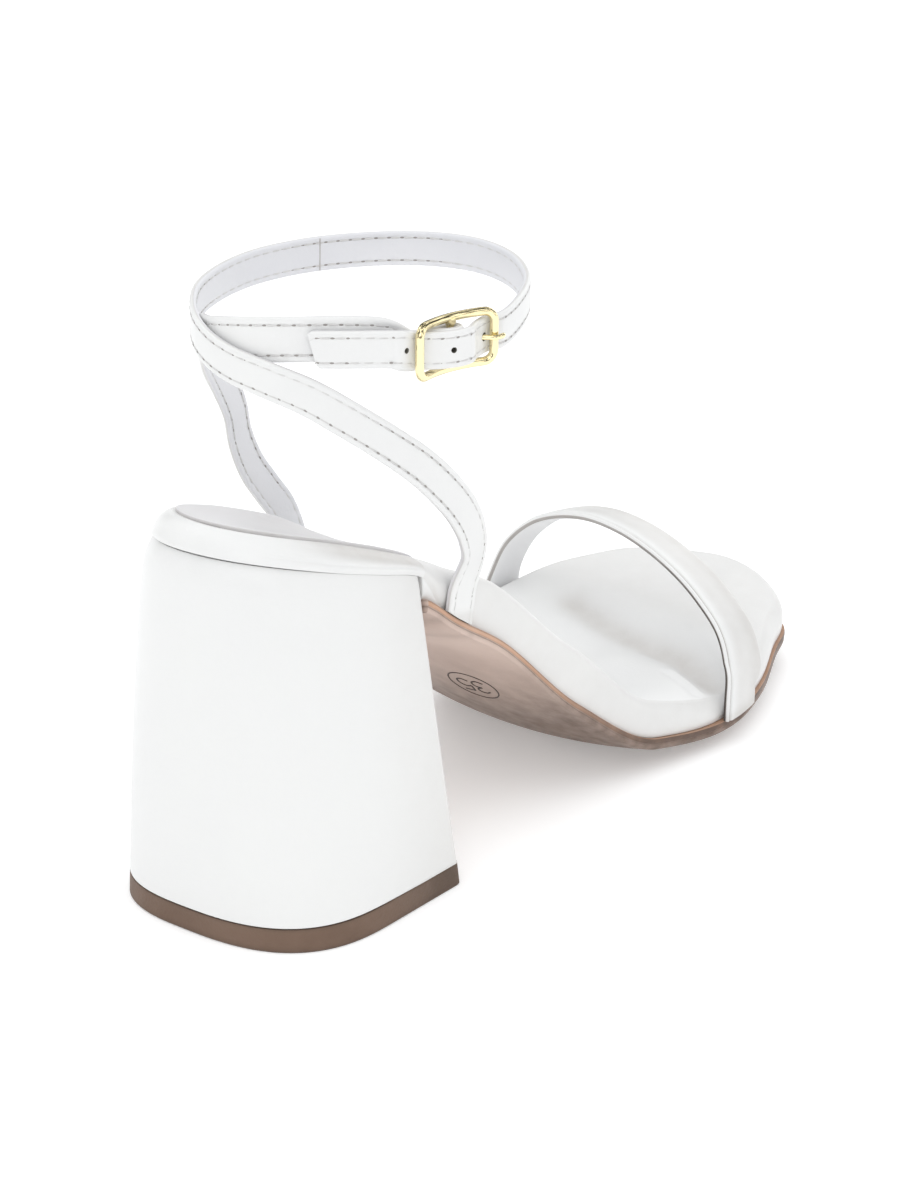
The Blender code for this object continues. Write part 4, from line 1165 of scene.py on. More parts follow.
@dataclass
class StrapPath:
    """A strap's middle line, with the directions and half width of its section at each row."""

    centre: Array
    tangent: Array
    facing: Array
    sideways: Array
    along: Array
    half: Array
    thickness: float
    slant_length: float = 0.003

    @classmethod
    def through(
        cls,
        rows: Sequence[Array],
        width: Callable[[Array, Array], Array],
        thickness: float,
        step: float = 0.0009,
        turn: float = 6.0,
    ) -> "StrapPath":
        """Lays a strap through rows.

        Args:
            rows: Six columns each: a place, and the way that the strap faces there.
            width: The width from the distances from the near end and to the far end.
            thickness: The strap's thickness.
            step: Longest step between two rows.
            turn: Most degrees between two rows.

        Returns:
            The path.
        """
        path = curve(rows)
        tangent = unit(np.gradient(path[:, :3], axis=0))
        bend = np.degrees(np.arccos(np.clip((tangent[1:] * tangent[:-1]).sum(axis=1), -1, 1)))
        measure = lengths(path) / step + np.concatenate([[0.0], np.cumsum(bend)]) / turn
        path = resample(path, measure, int(math.ceil(measure[-1])) + 1)
        along = lengths(path)
        tangent = unit(np.gradient(path[:, :3], along, axis=0))
        lean = (path[:, 3:] * tangent).sum(axis=1, keepdims=True)
        facing = unit(path[:, 3:] - lean * tangent)
        sideways = np.cross(tangent, facing)
        half = width(along, along[-1] - along) / 2
        return cls(path[:, :3], tangent, facing, sideways, along, half, thickness)

    def at(self, distance: float) -> tuple[Array, Array, Array, Array, float]:
        """The middle, the three directions and the half width at a distance along.

        Args:
            distance: The distance along.

        Returns:
            All five of them.
        """
        found = [
            np.array([np.interp(distance, self.along, column) for column in table.T])
            for table in (self.centre, self.tangent, self.facing, self.sideways)
        ]
        half = float(np.interp(distance, self.along, self.half))
        return found[0], unit(found[1]), unit(found[2]), unit(found[3]), half

    def nearest(self, place: Array) -> float:
        """Distance along of the row that lies nearest to a place."""
        return float(self.along[np.linalg.norm(self.centre - place, axis=1).argmin()])

    def rings(self, section: Array, slant: float = 0.0) -> Array:
        """Sweeps a section along the path.

        Args:
            section: Its points as shares of the half width and half thickness.
            slant: The far end's length against its width.

        Returns:
            The rings.
        """
        lean = slant * np.clip(1 - (self.along[-1] - self.along) / self.slant_length, 0.0, 1.0)
        reach = self.sideways + self.tangent * lean[:, None]
        out = self.facing * self.thickness / 2
        wide = (reach * self.half[:, None])[:, None] * section[:, 0][:, None]
        return self.centre[:, None] + wide + out[:, None] * section[:, 1][:, None]


@dataclass(frozen=True)
class Stitching:
    """Rows of lockstitch: the sizes of a stitch and of the dark disc of painted shade at its needle
    hole, and where a row lies.
    """

    pitch: float = 0.0029
    length: float = 0.0020
    radius: float = 0.00020
    sides: int = 6
    places: tuple[float, ...] = (-0.5, -0.40, -0.18, 0.18, 0.40, 0.5)
    radii: tuple[float, ...] = (0.35, 0.80, 1.0, 1.0, 0.80, 0.35)
    spread: float = 1.15
    height: float = 0.7
    seat: float = 0.86
    pit: float = 0.00025
    pit_spread: Pair = (1.9, 0.8)
    pit_sides: int = 8
    pit_seat: float = 0.84
    pit_lift: float = 0.00004
    row: float = 0.66

    @cached_property
    def template(self) -> tuple[Array, list[list[int]]]:
        """One stitch of unit length along x and unit radius, as points and faces.

        Returns:
            The points and the corners of each face.
        """
        sides = self.sides
        turns = 2 * math.pi * np.arange(sides) / sides
        rings = [
            np.column_stack([np.full(sides, x), radius * np.cos(turns), radius * np.sin(turns)])
            for x, radius in zip(self.places, self.radii)
        ]
        faces, last = [], sides * (len(rings) - 1)
        for base in range(0, last, sides):
            for j in range(sides):
                after = (j + 1) % sides
                faces.append([base + j, base + after, base + sides + after, base + sides + j])
        ends = [list(range(sides)), list(range(last, last + sides))]
        return np.vstack(rings), [*faces, *ends]

    def sew(
        self, shell: Shell, path: StrapPath, start: float, end: float, across: float, side: float
    ) -> None:
        """Sews one row along a strap.

        Args:
            shell: Where the stitches and the dark discs of painted shade at their needle holes are
                gathered.
            path: The strap.
            start: Distance along of the first stitch.
            end: Distance along that the row stops before.
            across: Place of the row, as a share of the half width.
            side: 1 on the strap's face and -1 on its lining.
        """
        points, faces = self.template
        for at in np.arange(start, end, self.pitch):
            centre, tangent, facing, sideways, half = path.at(at)
            base = centre + sideways * half * across
            top = side * path.thickness / 2
            sizes = [self.length, self.radius * self.spread, self.radius * self.height]
            axes = np.stack([tangent, sideways, facing])
            scaled = (points * np.array(sizes)) @ axes
            shell.add(base + facing * top * self.seat + scaled, faces, 0)
            lift = top * self.pit_seat + side * self.pit_lift
            pit = base + tangent * self.pitch / 2 + facing * lift
            self.prick(shell, pit, tangent, sideways)

    def prick(self, shell: Shell, place: Array, first: Array, second: Array) -> None:
        """Adds one needle hole's painted shade: a dark disc that lies on the strap.

        Args:
            shell: Where it is gathered.
            place: Its middle.
            first: The way that it is long.
            second: The way that it is short.
        """
        turns = 2 * math.pi * np.arange(self.pit_sides) / self.pit_sides
        long, short = self.pit_spread
        disc = first * np.cos(turns)[:, None] * long + second * np.sin(turns)[:, None] * short
        shell.add(place + disc * self.pit, [list(range(self.pit_sides))], 1)


def punch(
    piece: Piece, centre: Array, way: Array, radius: float, reach: float = 0.0013
) -> None:
    """Punches a round hole through a piece.

    Args:
        piece: The piece.
        centre: The middle of the hole, in the last's frame.
        way: The way that it is punched.
        radius: Its radius.
        reach: How far the punch goes to either side of the middle.
    """
    shell = Shell()
    ends = np.array([centre - way * reach, centre, centre + way * reach])
    askew = np.array([0.3, 0.2, 1.0])
    shell.add_rings(rod_rings(ends, radius, askew))
    cutter = shell.make(f"{piece.name}_punch", [PUNCHED_HOLE_SHADE])
    modifier = piece.modifiers.new("punch", "BOOLEAN")
    modifier.operation, modifier.solver, modifier.object = "DIFFERENCE", "EXACT", cutter
    # The cutter's dark finish passes to the hole's walls: painted shade in the hole.
    modifier.material_mode = "TRANSFER"
    graph = bpy.context.evaluated_depsgraph_get()
    cut = bpy.data.meshes.new_from_object(piece.evaluated_get(graph))
    piece.modifiers.remove(modifier)
    piece.data = cut
    bpy.data.objects.remove(cutter, do_unlink=True)


@dataclass
class SubAssembly:
    """What every sub-assembly has: its last, and the pieces that it has made."""

    last: Last
    pieces: list[Piece] = field(default_factory=list, init=False)

    def keep(
        self, piece: Piece, slot: str, replaces: Sequence[str] = ()
    ) -> Piece:
        """Fits a made piece to the frame.

        Args:
            piece: The piece.
            slot: The record's material slot; not used.
            replaces: CAD nodes that it stands for.

        Returns:
            The same piece.
        """
        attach(piece, "root")
        if replaces:
            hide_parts(*replaces)
        self.pieces.append(piece)
        LOG.info("%s: %d faces", piece.name, len(piece.data.polygons))
        return piece


@dataclass
class HeelShape:
    """The heel's plan at any level, from the last's seat down to the floor."""

    last: Last
    breast: float = 0.0465
    bottom_length: float = 0.0523
    bottom_lateral: float = 0.0333
    bottom_medial: float = 0.0261
    overhang: float = 0.0021
    widest: float = 0.57
    squareness: float = 2.8
    inset: float = 0.0005
    edge: float = 0.0013
    shoulder: float = 0.0016
    shoulder_depth: float = 0.085
    around: int = 84
    back_places: int = 181
    corner_places: int = 7
    breast_places: int = 15

    def breast_x(self, z: float) -> float:
        """Place of the breast face at a height."""
        bottom = self.bottom_length - self.overhang
        return bottom + (self.breast - bottom) * z / float(self.last.block_top(self.breast))

    def _rounded(self, side: Array, sign: float) -> Array:
        """One side's plan with a rounded corner and the breast face up to the middle line.

        Args:
            side: Plan points of the side.
            sign: The sign of y on it.

        Returns:
            The plan.
        """
        end = side[-1, 0] + self.edge
        turn = np.linspace(0, math.pi / 2, self.corner_places)[1:]
        corner_x = end - self.edge + self.edge * np.sin(turn)
        corner_y = side[-1, 1] - sign * self.edge * (1 - np.cos(turn))
        corner = np.column_stack([corner_x, corner_y])
        shares = np.linspace(0, 1, self.breast_places)[1:, None]
        face = corner[-1] * (1 - shares) + np.array([[end, 0.0]]) * shares
        return np.vstack([side, corner, face])

    def side(self, side: Side, depth: float, spread: float) -> Array:
        """Works out one side of the heel's plan.

        Args:
            side: Which side.
            depth: Share of the height, from the top down, that its length follows.
            spread: Share of the spread that its width follows.

        Returns:
            Plan points from the back's middle to the breast's middle.
        """
        last, sign = self.last, side.value
        top = last.between(last.outlines[side], 0.0, self.breast - self.edge, self.around)
        top = last.drawn_in(top, self.inset)
        width = self.bottom_lateral if side is Side.LATERAL else self.bottom_medial
        end = self.bottom_length - self.overhang
        rear = self.widest * self.bottom_length
        turn = np.linspace(0, math.pi / 2, self.back_places)
        power = 2 / self.squareness
        back_x = rear - self.overhang - rear * np.cos(turn) ** power
        back = np.column_stack([back_x, sign * width * np.sin(turn) ** power])
        whole = np.vstack([back, [[end - self.edge, sign * width]]])
        bottom = resample(whole, lengths(whole), self.around)
        top, bottom = self._rounded(top, sign), self._rounded(bottom, sign)
        return top + (bottom - top) * np.array([depth, spread])

    def ring(self, depth: float) -> Array:
        """A level of the heel, from its top (0) to the floor (1).

        Args:
            depth: Share of the height, from the top.

        Returns:
            Its points.
        """
        places = [row.depth for row in FLARES]
        sides = []
        for side, name in ((Side.LATERAL, "lateral"), (Side.MEDIAL, "medial")):
            spread = float(through(places, [getattr(row, name) for row in FLARES], depth))
            sides.append(self.side(side, depth, spread))
        plan = closed_ring(*sides)
        shoulder = self.shoulder * max(1 - depth / self.shoulder_depth, 0.0) ** 2
        lean = self.last.share_at(plan[:, 0], "lean")
        seat = lean > 0
        plan[seat] = self.last.drawn_in(plan[seat], shoulder * lean[seat])
        return with_height(plan, (1 - depth) * self.last.block_top(np.maximum(plan[:, 0], 0.0)))

    def level(self, z: float) -> Array:
        """A level cut close to the floor.

        Args:
            z: The height.

        Returns:
            Its points.
        """
        ring = self.ring(1 - z / float(self.last.block_top(0.0)))
        ring[:, 2] = z
        return ring

    @staticmethod
    def pulled_in(ring: Array, distance: float) -> Array:
        """A ring moved inwards by a small distance.

        Args:
            ring: The ring.
            distance: The distance.

        Returns:
            The moved ring.
        """
        middle = ring[:, :2].mean(axis=0)
        ring = ring.copy()
        ring[:, :2] += unit(middle - ring[:, :2]) * distance
        return ring


@dataclass
class HeelBlock(SubAssembly):
    """The wrapped block of the heel."""

    shape: HeelShape
    top_piece: float = 0.0051
    levels: int = 70
    crowding: float = 1.35
    lowest: float = 0.93
    foot_shares: tuple[float, ...] = (0.25, 0.5, 0.75, 0.94)
    foot_pulls: tuple[float, ...] = (0.00012, 0.0008)
    groove: float = 0.00010
    groove_width: float = 0.0011
    joint_shade: float = 0.08
    breast_shade: Shade = Shade(0.30, 0.022, 0.052)

    def build(self) -> None:
        """Builds the block, with its edge rolled in under the footbed's wrap."""
        shares = np.linspace(0, 1, self.levels) ** self.crowding * self.lowest
        rings = [self.shape.ring(share) for share in shares]
        height = float(self.last.block_top(0.0))
        made = []
        for share, ring in zip(shares, rings):
            pull = self.groove * float(swell(np.array(share * height), self.groove_width))
            made.append(self.shape.pulled_in(ring, pull))
        level = self.shape.level(self.top_piece + GAP)
        last_ring = self.shape.ring(self.lowest)
        made += [last_ring * (1 - share) + level * share for share in self.foot_shares]
        made += [self.shape.pulled_in(level, pull) for pull in self.foot_pulls]
        rings = np.array(made)
        shade_lines_mask = np.zeros(rings.shape[:2])
        # Painted shade: a line under the footbed's wrap, and the side towards the breast.
        shade_lines_mask[:3] = np.linspace(self.joint_shade, 0.0, 3)[:, None]
        shade_lines_mask += self.breast_shade.at(rings[..., 0])
        shell = Shell()
        shell.add_rings(rings, shade_lines_mask=shade_lines_mask, folded_caps=True)
        piece = shell.make("heel_block_wrap", [HEEL_SKIN])
        self.keep(piece, "heel_block", ["heel_block"])


@dataclass
class TopPiece(SubAssembly):
    """The hard-wearing piece under the heel."""

    shape: HeelShape
    height: float = 0.0051
    chamfer: float = 0.0004
    bevel: float = 0.00015
    levels: int = 9
    face_insets: Pair = (0.012, 0.006)
    lower_edge_darkening: Triple = (0.8, 0.5, 0.15)
    joint_shade: Triple = (0.0, 0.3, 0.6)
    front_shade: Shade = Shade(0.95, 0.020, 0.048)
    outer_shade: Shade = Shade(1.0, 0.0, 0.010)

    def build(self) -> None:
        """Builds the piece, darker at its lower edge, with painted shade under the block and
        towards the breast.
        """
        shape, (ground_inset, top_inset) = self.shape, self.face_insets
        ground, top = shape.level(0.0), shape.level(self.height)
        rings = [shape.pulled_in(ground, ground_inset), shape.pulled_in(ground, self.chamfer)]
        for z in np.linspace(self.chamfer, self.height - self.bevel, self.levels):
            rings.append(shape.level(float(z)))
        rings += [shape.pulled_in(top, self.bevel), shape.pulled_in(top, top_inset)]
        rings = np.array(rings)
        shade_lines_mask = np.zeros(rings.shape[:2])
        # Darker at the lower edge, and painted shade under the block and towards the breast on the
        # outer side.
        shade_lines_mask[1:4] = np.array(self.lower_edge_darkening)[:, None]
        shade_lines_mask[-4:-1] = np.array(self.joint_shade)[:, None]
        shade_lines_mask += self.front_shade.at(rings[..., 0]) * self.outer_shade.at(-rings[..., 1])
        shade_lines_mask = np.clip(shade_lines_mask, 0.0, 1.0)
        shell = Shell()
        shell.add_rings(rings, shade_lines_mask=shade_lines_mask, folded_caps=True)
        piece = shell.make("heel_top_piece_rubber", [TOP_RUBBER])
        self.keep(piece, "heel_top_piece", ["heel_top_piece"])


class Foot(NamedTuple):
    """Where a strap's end stands on the outsole, and how far the outsole swells there."""

    side: Side
    place: float
    width: float
    swell: float


class EdgeRow(NamedTuple):
    """One row of the outsole's edge: its height, how far out it stands, its finish and how dark it
    is painted.
    """

    height: float
    out: float
    slot: int
    shade_and_lines: float


# The last column: painted shade near the bottom and under the footbed, and in the groove a dark
# line, partly its own tone and partly painted shade.
EDGE_ROWS = (
    EdgeRow(0.20, 0.00000, 0, 0.10),
    EdgeRow(0.38, 0.00002, 0, 0.25),
    EdgeRow(0.48, -0.00012, 0, 0.75),
    EdgeRow(0.56, 0.00004, 1, 0.35),
    EdgeRow(0.70, 0.00012, 1, 0.00),
    EdgeRow(0.84, 0.00010, 1, 0.05),
    EdgeRow(0.94, 0.00004, 1, 0.55),
)


class Wrinkle(NamedTuple):
    """A line across the sole: its place, its lean, its strength and its width."""

    place: float
    lean: float
    strength: float
    width: float

    def at(self, x: Array, y: Array) -> Array:
        """Its strength at plan places."""
        return self.strength * swell(x - self.place - self.lean * y, self.width)


# Strokes of the size number's digits: points across and up, within 1 of a digit's middle.
THREE = (
    ((-0.50, 0.72), (-0.15, 0.98), (0.38, 0.86), (0.46, 0.42), (-0.06, 0.08)),
    ((-0.06, 0.08), (0.48, -0.10), (0.56, -0.62), (0.05, -0.98), (-0.54, -0.74)),
)
FIVE = (
    ((0.50, 0.96), (0.05, 0.96), (-0.40, 0.96)),
    ((-0.40, 0.96), (-0.45, 0.52), (-0.50, 0.06)),
    ((-0.50, 0.06), (0.02, 0.26), (0.52, -0.10), (0.48, -0.70), (-0.02, -0.98), (-0.54, -0.76)),
)


@dataclass
class Outsole(SubAssembly):
    """The thin outsole: a tan edge, a brown underside and its stamped size mark."""

    shape: HeelShape
    welt: float = 0.0006
    tread_width: float = 0.985
    along: int = 210
    butt: int = 12
    mark_centre: Pair = (0.0886, -0.0069)
    mark_radius: float = 0.0063
    mark_places: int = 72
    mark_line: float = 0.00019
    mark_profile: tuple[Pair, ...] = (
        (0.00001, 1.0),
        (0.00009, 0.8),
        (0.00009, -0.8),
        (0.00001, -1.0),
    )
    digit_size: float = 0.0030
    digit_offset: float = 0.0021
    digit_line: float = 1.25
    under_shares: tuple[float, float, int] = (0.02, 0.97, 26)
    over_shares: tuple[float, ...] = (0.97, 0.80, 0.50, 0.20)
    wrinkles: tuple[Wrinkle, ...] = (
        Wrinkle(0.0535, 0.10, 0.00022, 0.0013),
        Wrinkle(0.0575, -0.06, 0.00016, 0.0013),
    )
    wrinkle_middle: float = -0.010
    wrinkle_reach: float = 0.022
    # Painted shade along the wrinkles.
    wrinkle_shades: tuple[Wrinkle, ...] = (
        Wrinkle(0.0545, 0.12, 0.20, 0.0011),
        Wrinkle(0.0590, -0.08, 0.16, 0.0013),
    )
    toe_shade: Shade = Shade(0.90, 0.068, 0.103)
    side_shade: Shade = Shade(0.08, 0.004, 0.026)
    edge_shade: Shade = Shade(0.97, 0.076, 0.120)
    top_shade: float = 0.3
    feet: tuple[Foot, ...] = (
        Foot(Side.LATERAL, 0.0571, 0.0089, 0.00112),
        Foot(Side.MEDIAL, 0.0638, 0.0068, 0.00112),
        Foot(Side.LATERAL, 0.1509, 0.0134, 0.00077),
        Foot(Side.MEDIAL, 0.1605, 0.0134, 0.00077),
    )

    def build(self) -> None:
        """Builds the outsole and stamps the size on it."""
        edge = self._edge()
        shares = [*np.linspace(*self.under_shares), self.tread_width]
        rings = [self._under(self._narrowed(edge, share)) for share in shares]
        kinds, band = [0] * len(rings), len(rings)
        tread, top = rings[-1], self._over(edge)
        for row in EDGE_ROWS:
            plan = self.last.drawn_in(edge, -row.out)
            plan[: self.butt, 0] = edge[: self.butt, 0]
            plan[-self.butt + 1 :, 0] = edge[-self.butt + 1 :, 0]
            height = tread[:, 2] + (top[:, 2] - tread[:, 2]) * row.height
            rings.append(with_height(plan, height))
            kinds.append(row.slot)
        upper = [top, *(self._over(self._narrowed(edge, share)) for share in self.over_shares)]
        kinds += [1] * len(upper)
        rings = np.array([*rings, *upper])
        slots = np.repeat(np.array(kinds[:-1])[:, None], rings.shape[1], axis=1)
        slots[:, : self.butt] = 0
        slots[:, -self.butt :] = 0
        x, y = rings[..., 0], rings[..., 1]
        # Painted shade: darker towards the toe, the outer side and along the wrinkles, the edge
        # band towards the ball, and the top under the footbed.
        shade_lines_mask = self.toe_shade.at(x) + self.side_shade.at(-y)
        shade_lines_mask += sum(line.at(x, y) for line in self.wrinkle_shades)
        edge_shaded = self.edge_shade.at(x)
        for i, row in enumerate(EDGE_ROWS, band):
            shade = edge_shaded if row.slot == 1 else shade_lines_mask
            shade_lines_mask[i] = (shade + (1 - shade) * row.shade_and_lines)[i]
        shade_lines_mask[-len(upper) :] = self.top_shade
        shade_lines_mask = np.clip(shade_lines_mask, 0.0, 1.0)
        shell = Shell()
        shell.add_rings(rings, slots, shade_lines_mask, folded_caps=True)
        piece = shell.make("outsole_sheet", [SOLE_SKIN, SOLE_EDGE], 50.0)
        self.keep(piece, "outsole", ["outsole"])
        self._stamp()

    def _edge(self) -> Array:
        """The outsole's plan, swollen a little under each strap's foot.

        Returns:
            Its points.
        """
        last = self.last
        low = float(last.tread_edge(self.shape.breast)) - last.crown
        start = self.shape.breast_x(low) + GAP
        sides = []
        for side in Side:
            path = last.between(last.outlines[side], start, last.length, self.along)
            out = np.full(len(path), self.welt)
            for foot in self.feet:
                if foot.side is side:
                    out += foot.swell * swell(path[:, 0] - foot.place, 0.75 * foot.width)
            grown = last.drawn_in(path, -out)
            grown[0, 0] = start
            shares = np.linspace(0, 1, self.butt, endpoint=False)[:, None]
            butt = np.array([[start, 0.0]]) * (1 - shares) + grown[0] * shares
            sides.append(np.vstack([butt, grown]))
        sides[0][-1] = sides[1][-1] = (sides[0][-1] + sides[1][-1]) / 2
        return closed_ring(*sides)

    @staticmethod
    def _narrowed(edge: Array, share: float) -> Array:
        """The plan with its width cut to a share."""
        return edge * np.array([1.0, share])

    def _under(self, plan: Array) -> Array:
        """Plan points on the underside, which is crowned and worn flat at the ball.

        Args:
            plan: Plan points.

        Returns:
            The points with their heights.
        """
        x, y = plan.T
        height = self.last.tread_edge(x) - self.last.sag(x, y)
        return with_height(plan, np.maximum(height + self._wrinkles(x, y), 0.0))

    def _over(self, plan: Array) -> Array:
        """Plan points on the upper side."""
        return with_height(plan, self.last.outsole_top(plan[:, 0]) - self.last.sag(*plan.T))

    def _wrinkles(self, x: Array, y: Array) -> Array:
        """Soft wrinkles where the sheet turns down from the heel's breast."""
        made = sum(wrinkle.at(x, y) for wrinkle in self.wrinkles)
        return made * swell(y - self.wrinkle_middle, self.wrinkle_reach)

    def _stamp(self) -> None:
        """Stamps the size number and its ring under the shank."""
        turns = np.linspace(0, 2 * math.pi, self.mark_places + 1)[:-1]
        ring = np.column_stack([np.cos(turns), np.sin(turns)]) * self.mark_radius
        shell = Shell()
        self._stroke(shell, ring, self.mark_line, True)
        for digit, centre in ((THREE, -self.digit_offset), (FIVE, self.digit_offset)):
            for line in digit:
                drawn = curve(line, per_span=8) * self.digit_size + np.array([centre, 0.0])
                self._stroke(shell, drawn, self.mark_line * self.digit_line, False)
        self.keep(shell.make("outsole_size_mark", [MARK_INK]), "outsole")

    def _stroke(self, shell: Shell, line: Array, half: float, closed: bool) -> None:
        """Lays a stamped line on the underside.

        Args:
            shell: Where it is gathered.
            line: Its points across the sole and along it towards the toe.
            half: Half its width.
            closed: Whether it closes on itself.
        """
        if closed:
            heading = unit(np.roll(line, -1, axis=0) - np.roll(line, 1, axis=0))
        else:
            heading = unit(np.gradient(line, axis=0))
        aside = np.column_stack([-heading[:, 1], heading[:, 0]])
        rings = [
            self._on_underside(line + aside * half * wide, lift) for lift, wide in self.mark_profile
        ]
        shell.add_rings(np.array(rings).transpose(1, 0, 2), closed=closed)

    def _on_underside(self, places: Array, lift: float) -> Array:
        """Points a little off the underside, from places across the sole and along it.

        Args:
            places: The places.
            lift: How far off it lies.

        Returns:
            The points.
        """
        slope = self._slope(np.array([self.mark_centre[0]]))[0]
        x = self.mark_centre[0] + places[:, 1] / math.hypot(1.0, slope)
        y = self.mark_centre[1] + places[:, 0]
        plan = np.column_stack([x, y])
        slopes = self._slope(x)
        down = unit(np.column_stack([slopes, np.zeros(len(x)), -np.ones(len(x))]))
        return self._under(plan) + down * lift

    def _slope(self, x: Array, step: float = 0.0005) -> Array:
        """Rise of the underside towards the toe, from a step to either side."""
        return (self.last.tread_edge(x + step) - self.last.tread_edge(x - step)) / (2 * step)


class Fold(NamedTuple):
    """A soft trough or ridge pressed into the bed, along plan points."""

    points: tuple[Pair, ...]
    width: float
    height: float


# The lines of the fold under the toe strap, also painted darker as shade, and of the swell in front
# of it.
DEEP_FOLD = (
    (0.1480, -0.0325),
    (0.1540, -0.0200),
    (0.1561, -0.0095),
    (0.1600, 0.0050),
    (0.1640, 0.0190),
)
TOE_SWELL = ((0.1640, -0.0160), (0.1690, -0.0020), (0.1710, 0.0120), (0.1715, 0.0240))


@dataclass
class Footbed(SubAssembly):
    """The padded footbed: a wrapped wall, a soft ridge and a dished bed."""

    shape: HeelShape
    seat_places: int = 92
    fore_places: int = 210
    wall_rings: int = 40
    skirt_rings: int = 7
    bed_rings: int = 44
    foot_inset: float = 0.0010
    lift: float = 0.00005
    blend: float = 0.0070
    roll_height: float = 0.0017
    roll_depth: float = 0.00030
    roll_width: float = 0.00038
    puff: float = 0.00010
    puff_height: float = 0.0012
    puff_width: float = 0.0009
    wrap_start: Shade = Shade(1.0, 0.004, 0.016)
    wrap_end: Shade = Shade(1.0, 0.043, 0.050)
    tension: float = 0.00009
    tension_waves: tuple[float, ...] = (210, 160, 83, 1.1)
    under_shares: tuple[float, ...] = (0.25, 0.60)
    # Painted shade at the wall's foot and on its skirt, where they meet the block and the outsole.
    under_shade: Pair = (0.10, 0.8)
    skirt_flare: float = 0.00035
    skirt_shade: Pair = (0.06, 0.55)
    crowding: float = 1.5
    innermost: float = 0.985
    soft_rounds: int = 14
    soft_reach: float = 5.0
    soft_share: float = 0.5
    soft_rim: int = 6
    unevenness: float = 0.00009
    uneven_waves: tuple[float, ...] = (150, 40, 190, 31, 0.7)
    wall_shade: float = 0.30
    seat_shade: Shade = Shade(0.90, 0.010, 0.032)
    rise_shade: Shade = Shade(1.0, 0.34, 0.80)
    heel_shade: Shade = Shade(0.80, 0.014, 0.032)
    heel_end: Shade = Shade(1.0, 0.050, 0.062)
    toe_shade: Shade = Shade(0.28, 0.162, 0.176)
    deepest: int = 2
    # Painted shade along the deep fold under the toe strap.
    fold_shade: float = 0.80
    shade_width: float = 0.0036
    folds: tuple[Fold, ...] = (
        Fold(((0.1420, -0.0330), (0.1475, -0.0215)), 0.0011, 0.00060),
        Fold(((0.1398, -0.0330), (0.1452, -0.0210)), 0.0013, -0.00055),
        Fold(DEEP_FOLD, 0.0050, -0.00155),
        Fold(((0.1490, -0.0290), (0.1530, -0.0200), (0.1555, -0.0110)), 0.0028, -0.00060),
        Fold(TOE_SWELL, 0.0080, 0.00130),
        Fold(((0.1360, -0.0270), (0.1425, -0.0190), (0.1470, -0.0080)), 0.0070, 0.00080),
        Fold(((0.1050, 0.0330), (0.1200, 0.0230)), 0.0030, -0.00025),
    )

    def build(self) -> None:
        rings, shade_lines_mask = self._rings()
        shell = Shell()
        shell.add_rings(rings, shade_lines_mask=shade_lines_mask, folded_caps=True)
        piece = shell.make("footbed_pad", [WHITE_SKIN], 60.0)
        self.keep(piece, "footbed", ["footbed"])

    def _edge(self) -> tuple[Array, Array]:
        """The plan of the footbed's foot, and which of its points stand on the heel block.

        Returns:
            The plan points, and whether each is on the block.
        """
        last = self.last
        low = float(last.outsole_top(self.shape.breast))
        step = self.shape.breast_x(low) + GAP
        sides = []
        for path in last.outlines.values():
            seat = last.between(path, 0.0, step, self.seat_places)
            fore = last.between(path, step + GAP, last.length, self.fore_places)
            sides.append(np.vstack([seat, fore]))
        edge = closed_ring(*sides)
        return edge, edge[:, 0] < step + GAP / 2

    def _rings(self) -> tuple[Array, Array]:
        """The rings from the underside over the wall to the bed, with their painted shade.

        Returns:
            The rings, and the painted shade of each point.
        """
        last = self.last
        edge, on_block = self._edge()
        step = edge[on_block][:, 0].max()

        def base(points: Array) -> Array:
            """Height of what each point of the foot stands on."""
            on_outsole = last.outsole_top(points[:, 0]) - last.sag(*points.T)
            return np.where(on_block, last.block_top(edge[:, 0]), on_outsole) + self.lift

        inset = last.ridge_inset(edge[:, 0])
        rings, shade_lines_mask = [], []

        def keep(ring: Array, shade_and_lines: Array = 0.0) -> None:
            """Keeps a ring and its painted shade."""
            rings.append(ring)
            shade_lines_mask.append(np.broadcast_to(shade_and_lines, len(ring)))

        for share in self.under_shares:
            points = last.shrunk(edge, share)
            keep(with_height(points, base(points)))
        lean = last.share_at(edge[:, 0], "lean")
        points = last.drawn_in(edge, self.foot_inset + RIMS[0].leaning * lean * inset)
        keep(with_height(points, base(points)), np.where(on_block, *self.under_shade))
        foot, block = base(edge), last.block_top(edge[:, 0])
        high_share = ease(edge[:, 0], step, step + self.blend)
        virtual = np.where(on_block, foot, block * (1 - high_share) + foot * high_share)
        virtual = np.maximum(virtual, foot)
        for share in np.linspace(0, 1, self.skirt_rings, endpoint=False):
            foot_inset = RIMS[0].inset + (RIMS[0].leaning - RIMS[0].inset) * lean
            points = last.drawn_in(edge, inset * foot_inset + self.skirt_flare * (1 - share) ** 3)
            shade_and_lines = np.where(on_block, *self.skirt_shade) * (1 - share) ** 4
            keep(with_height(points, foot + (virtual - foot) * share), shade_and_lines)
        profile = curve([[row.inset, row.height, 0.0, row.leaning] for row in RIMS])
        profile = resample(profile, lengths(profile), self.wall_rings)
        wall_start = len(rings)
        for upright, height_share, _, leaning in profile:
            points = last.drawn_in(edge, (upright + (leaning - upright) * lean) * inset)
            high = last.ridge_height(*points.T)
            seat = self.seat_shade.at(points[:, 0]) * self.rise_shade.at(height_share)
            shade = np.where(on_block, seat, self.wall_shade)
            keep(with_height(points, virtual + (high - virtual) * height_share), shade)
        ridge = len(rings) - 1
        crest = last.drawn_in(edge, inset)
        steps = np.linspace(0, 1, self.bed_rings + 1)[1:] ** self.crowding
        for share in 1 - steps * self.innermost:
            points = last.shrunk(crest, share)
            x = points[:, 0]
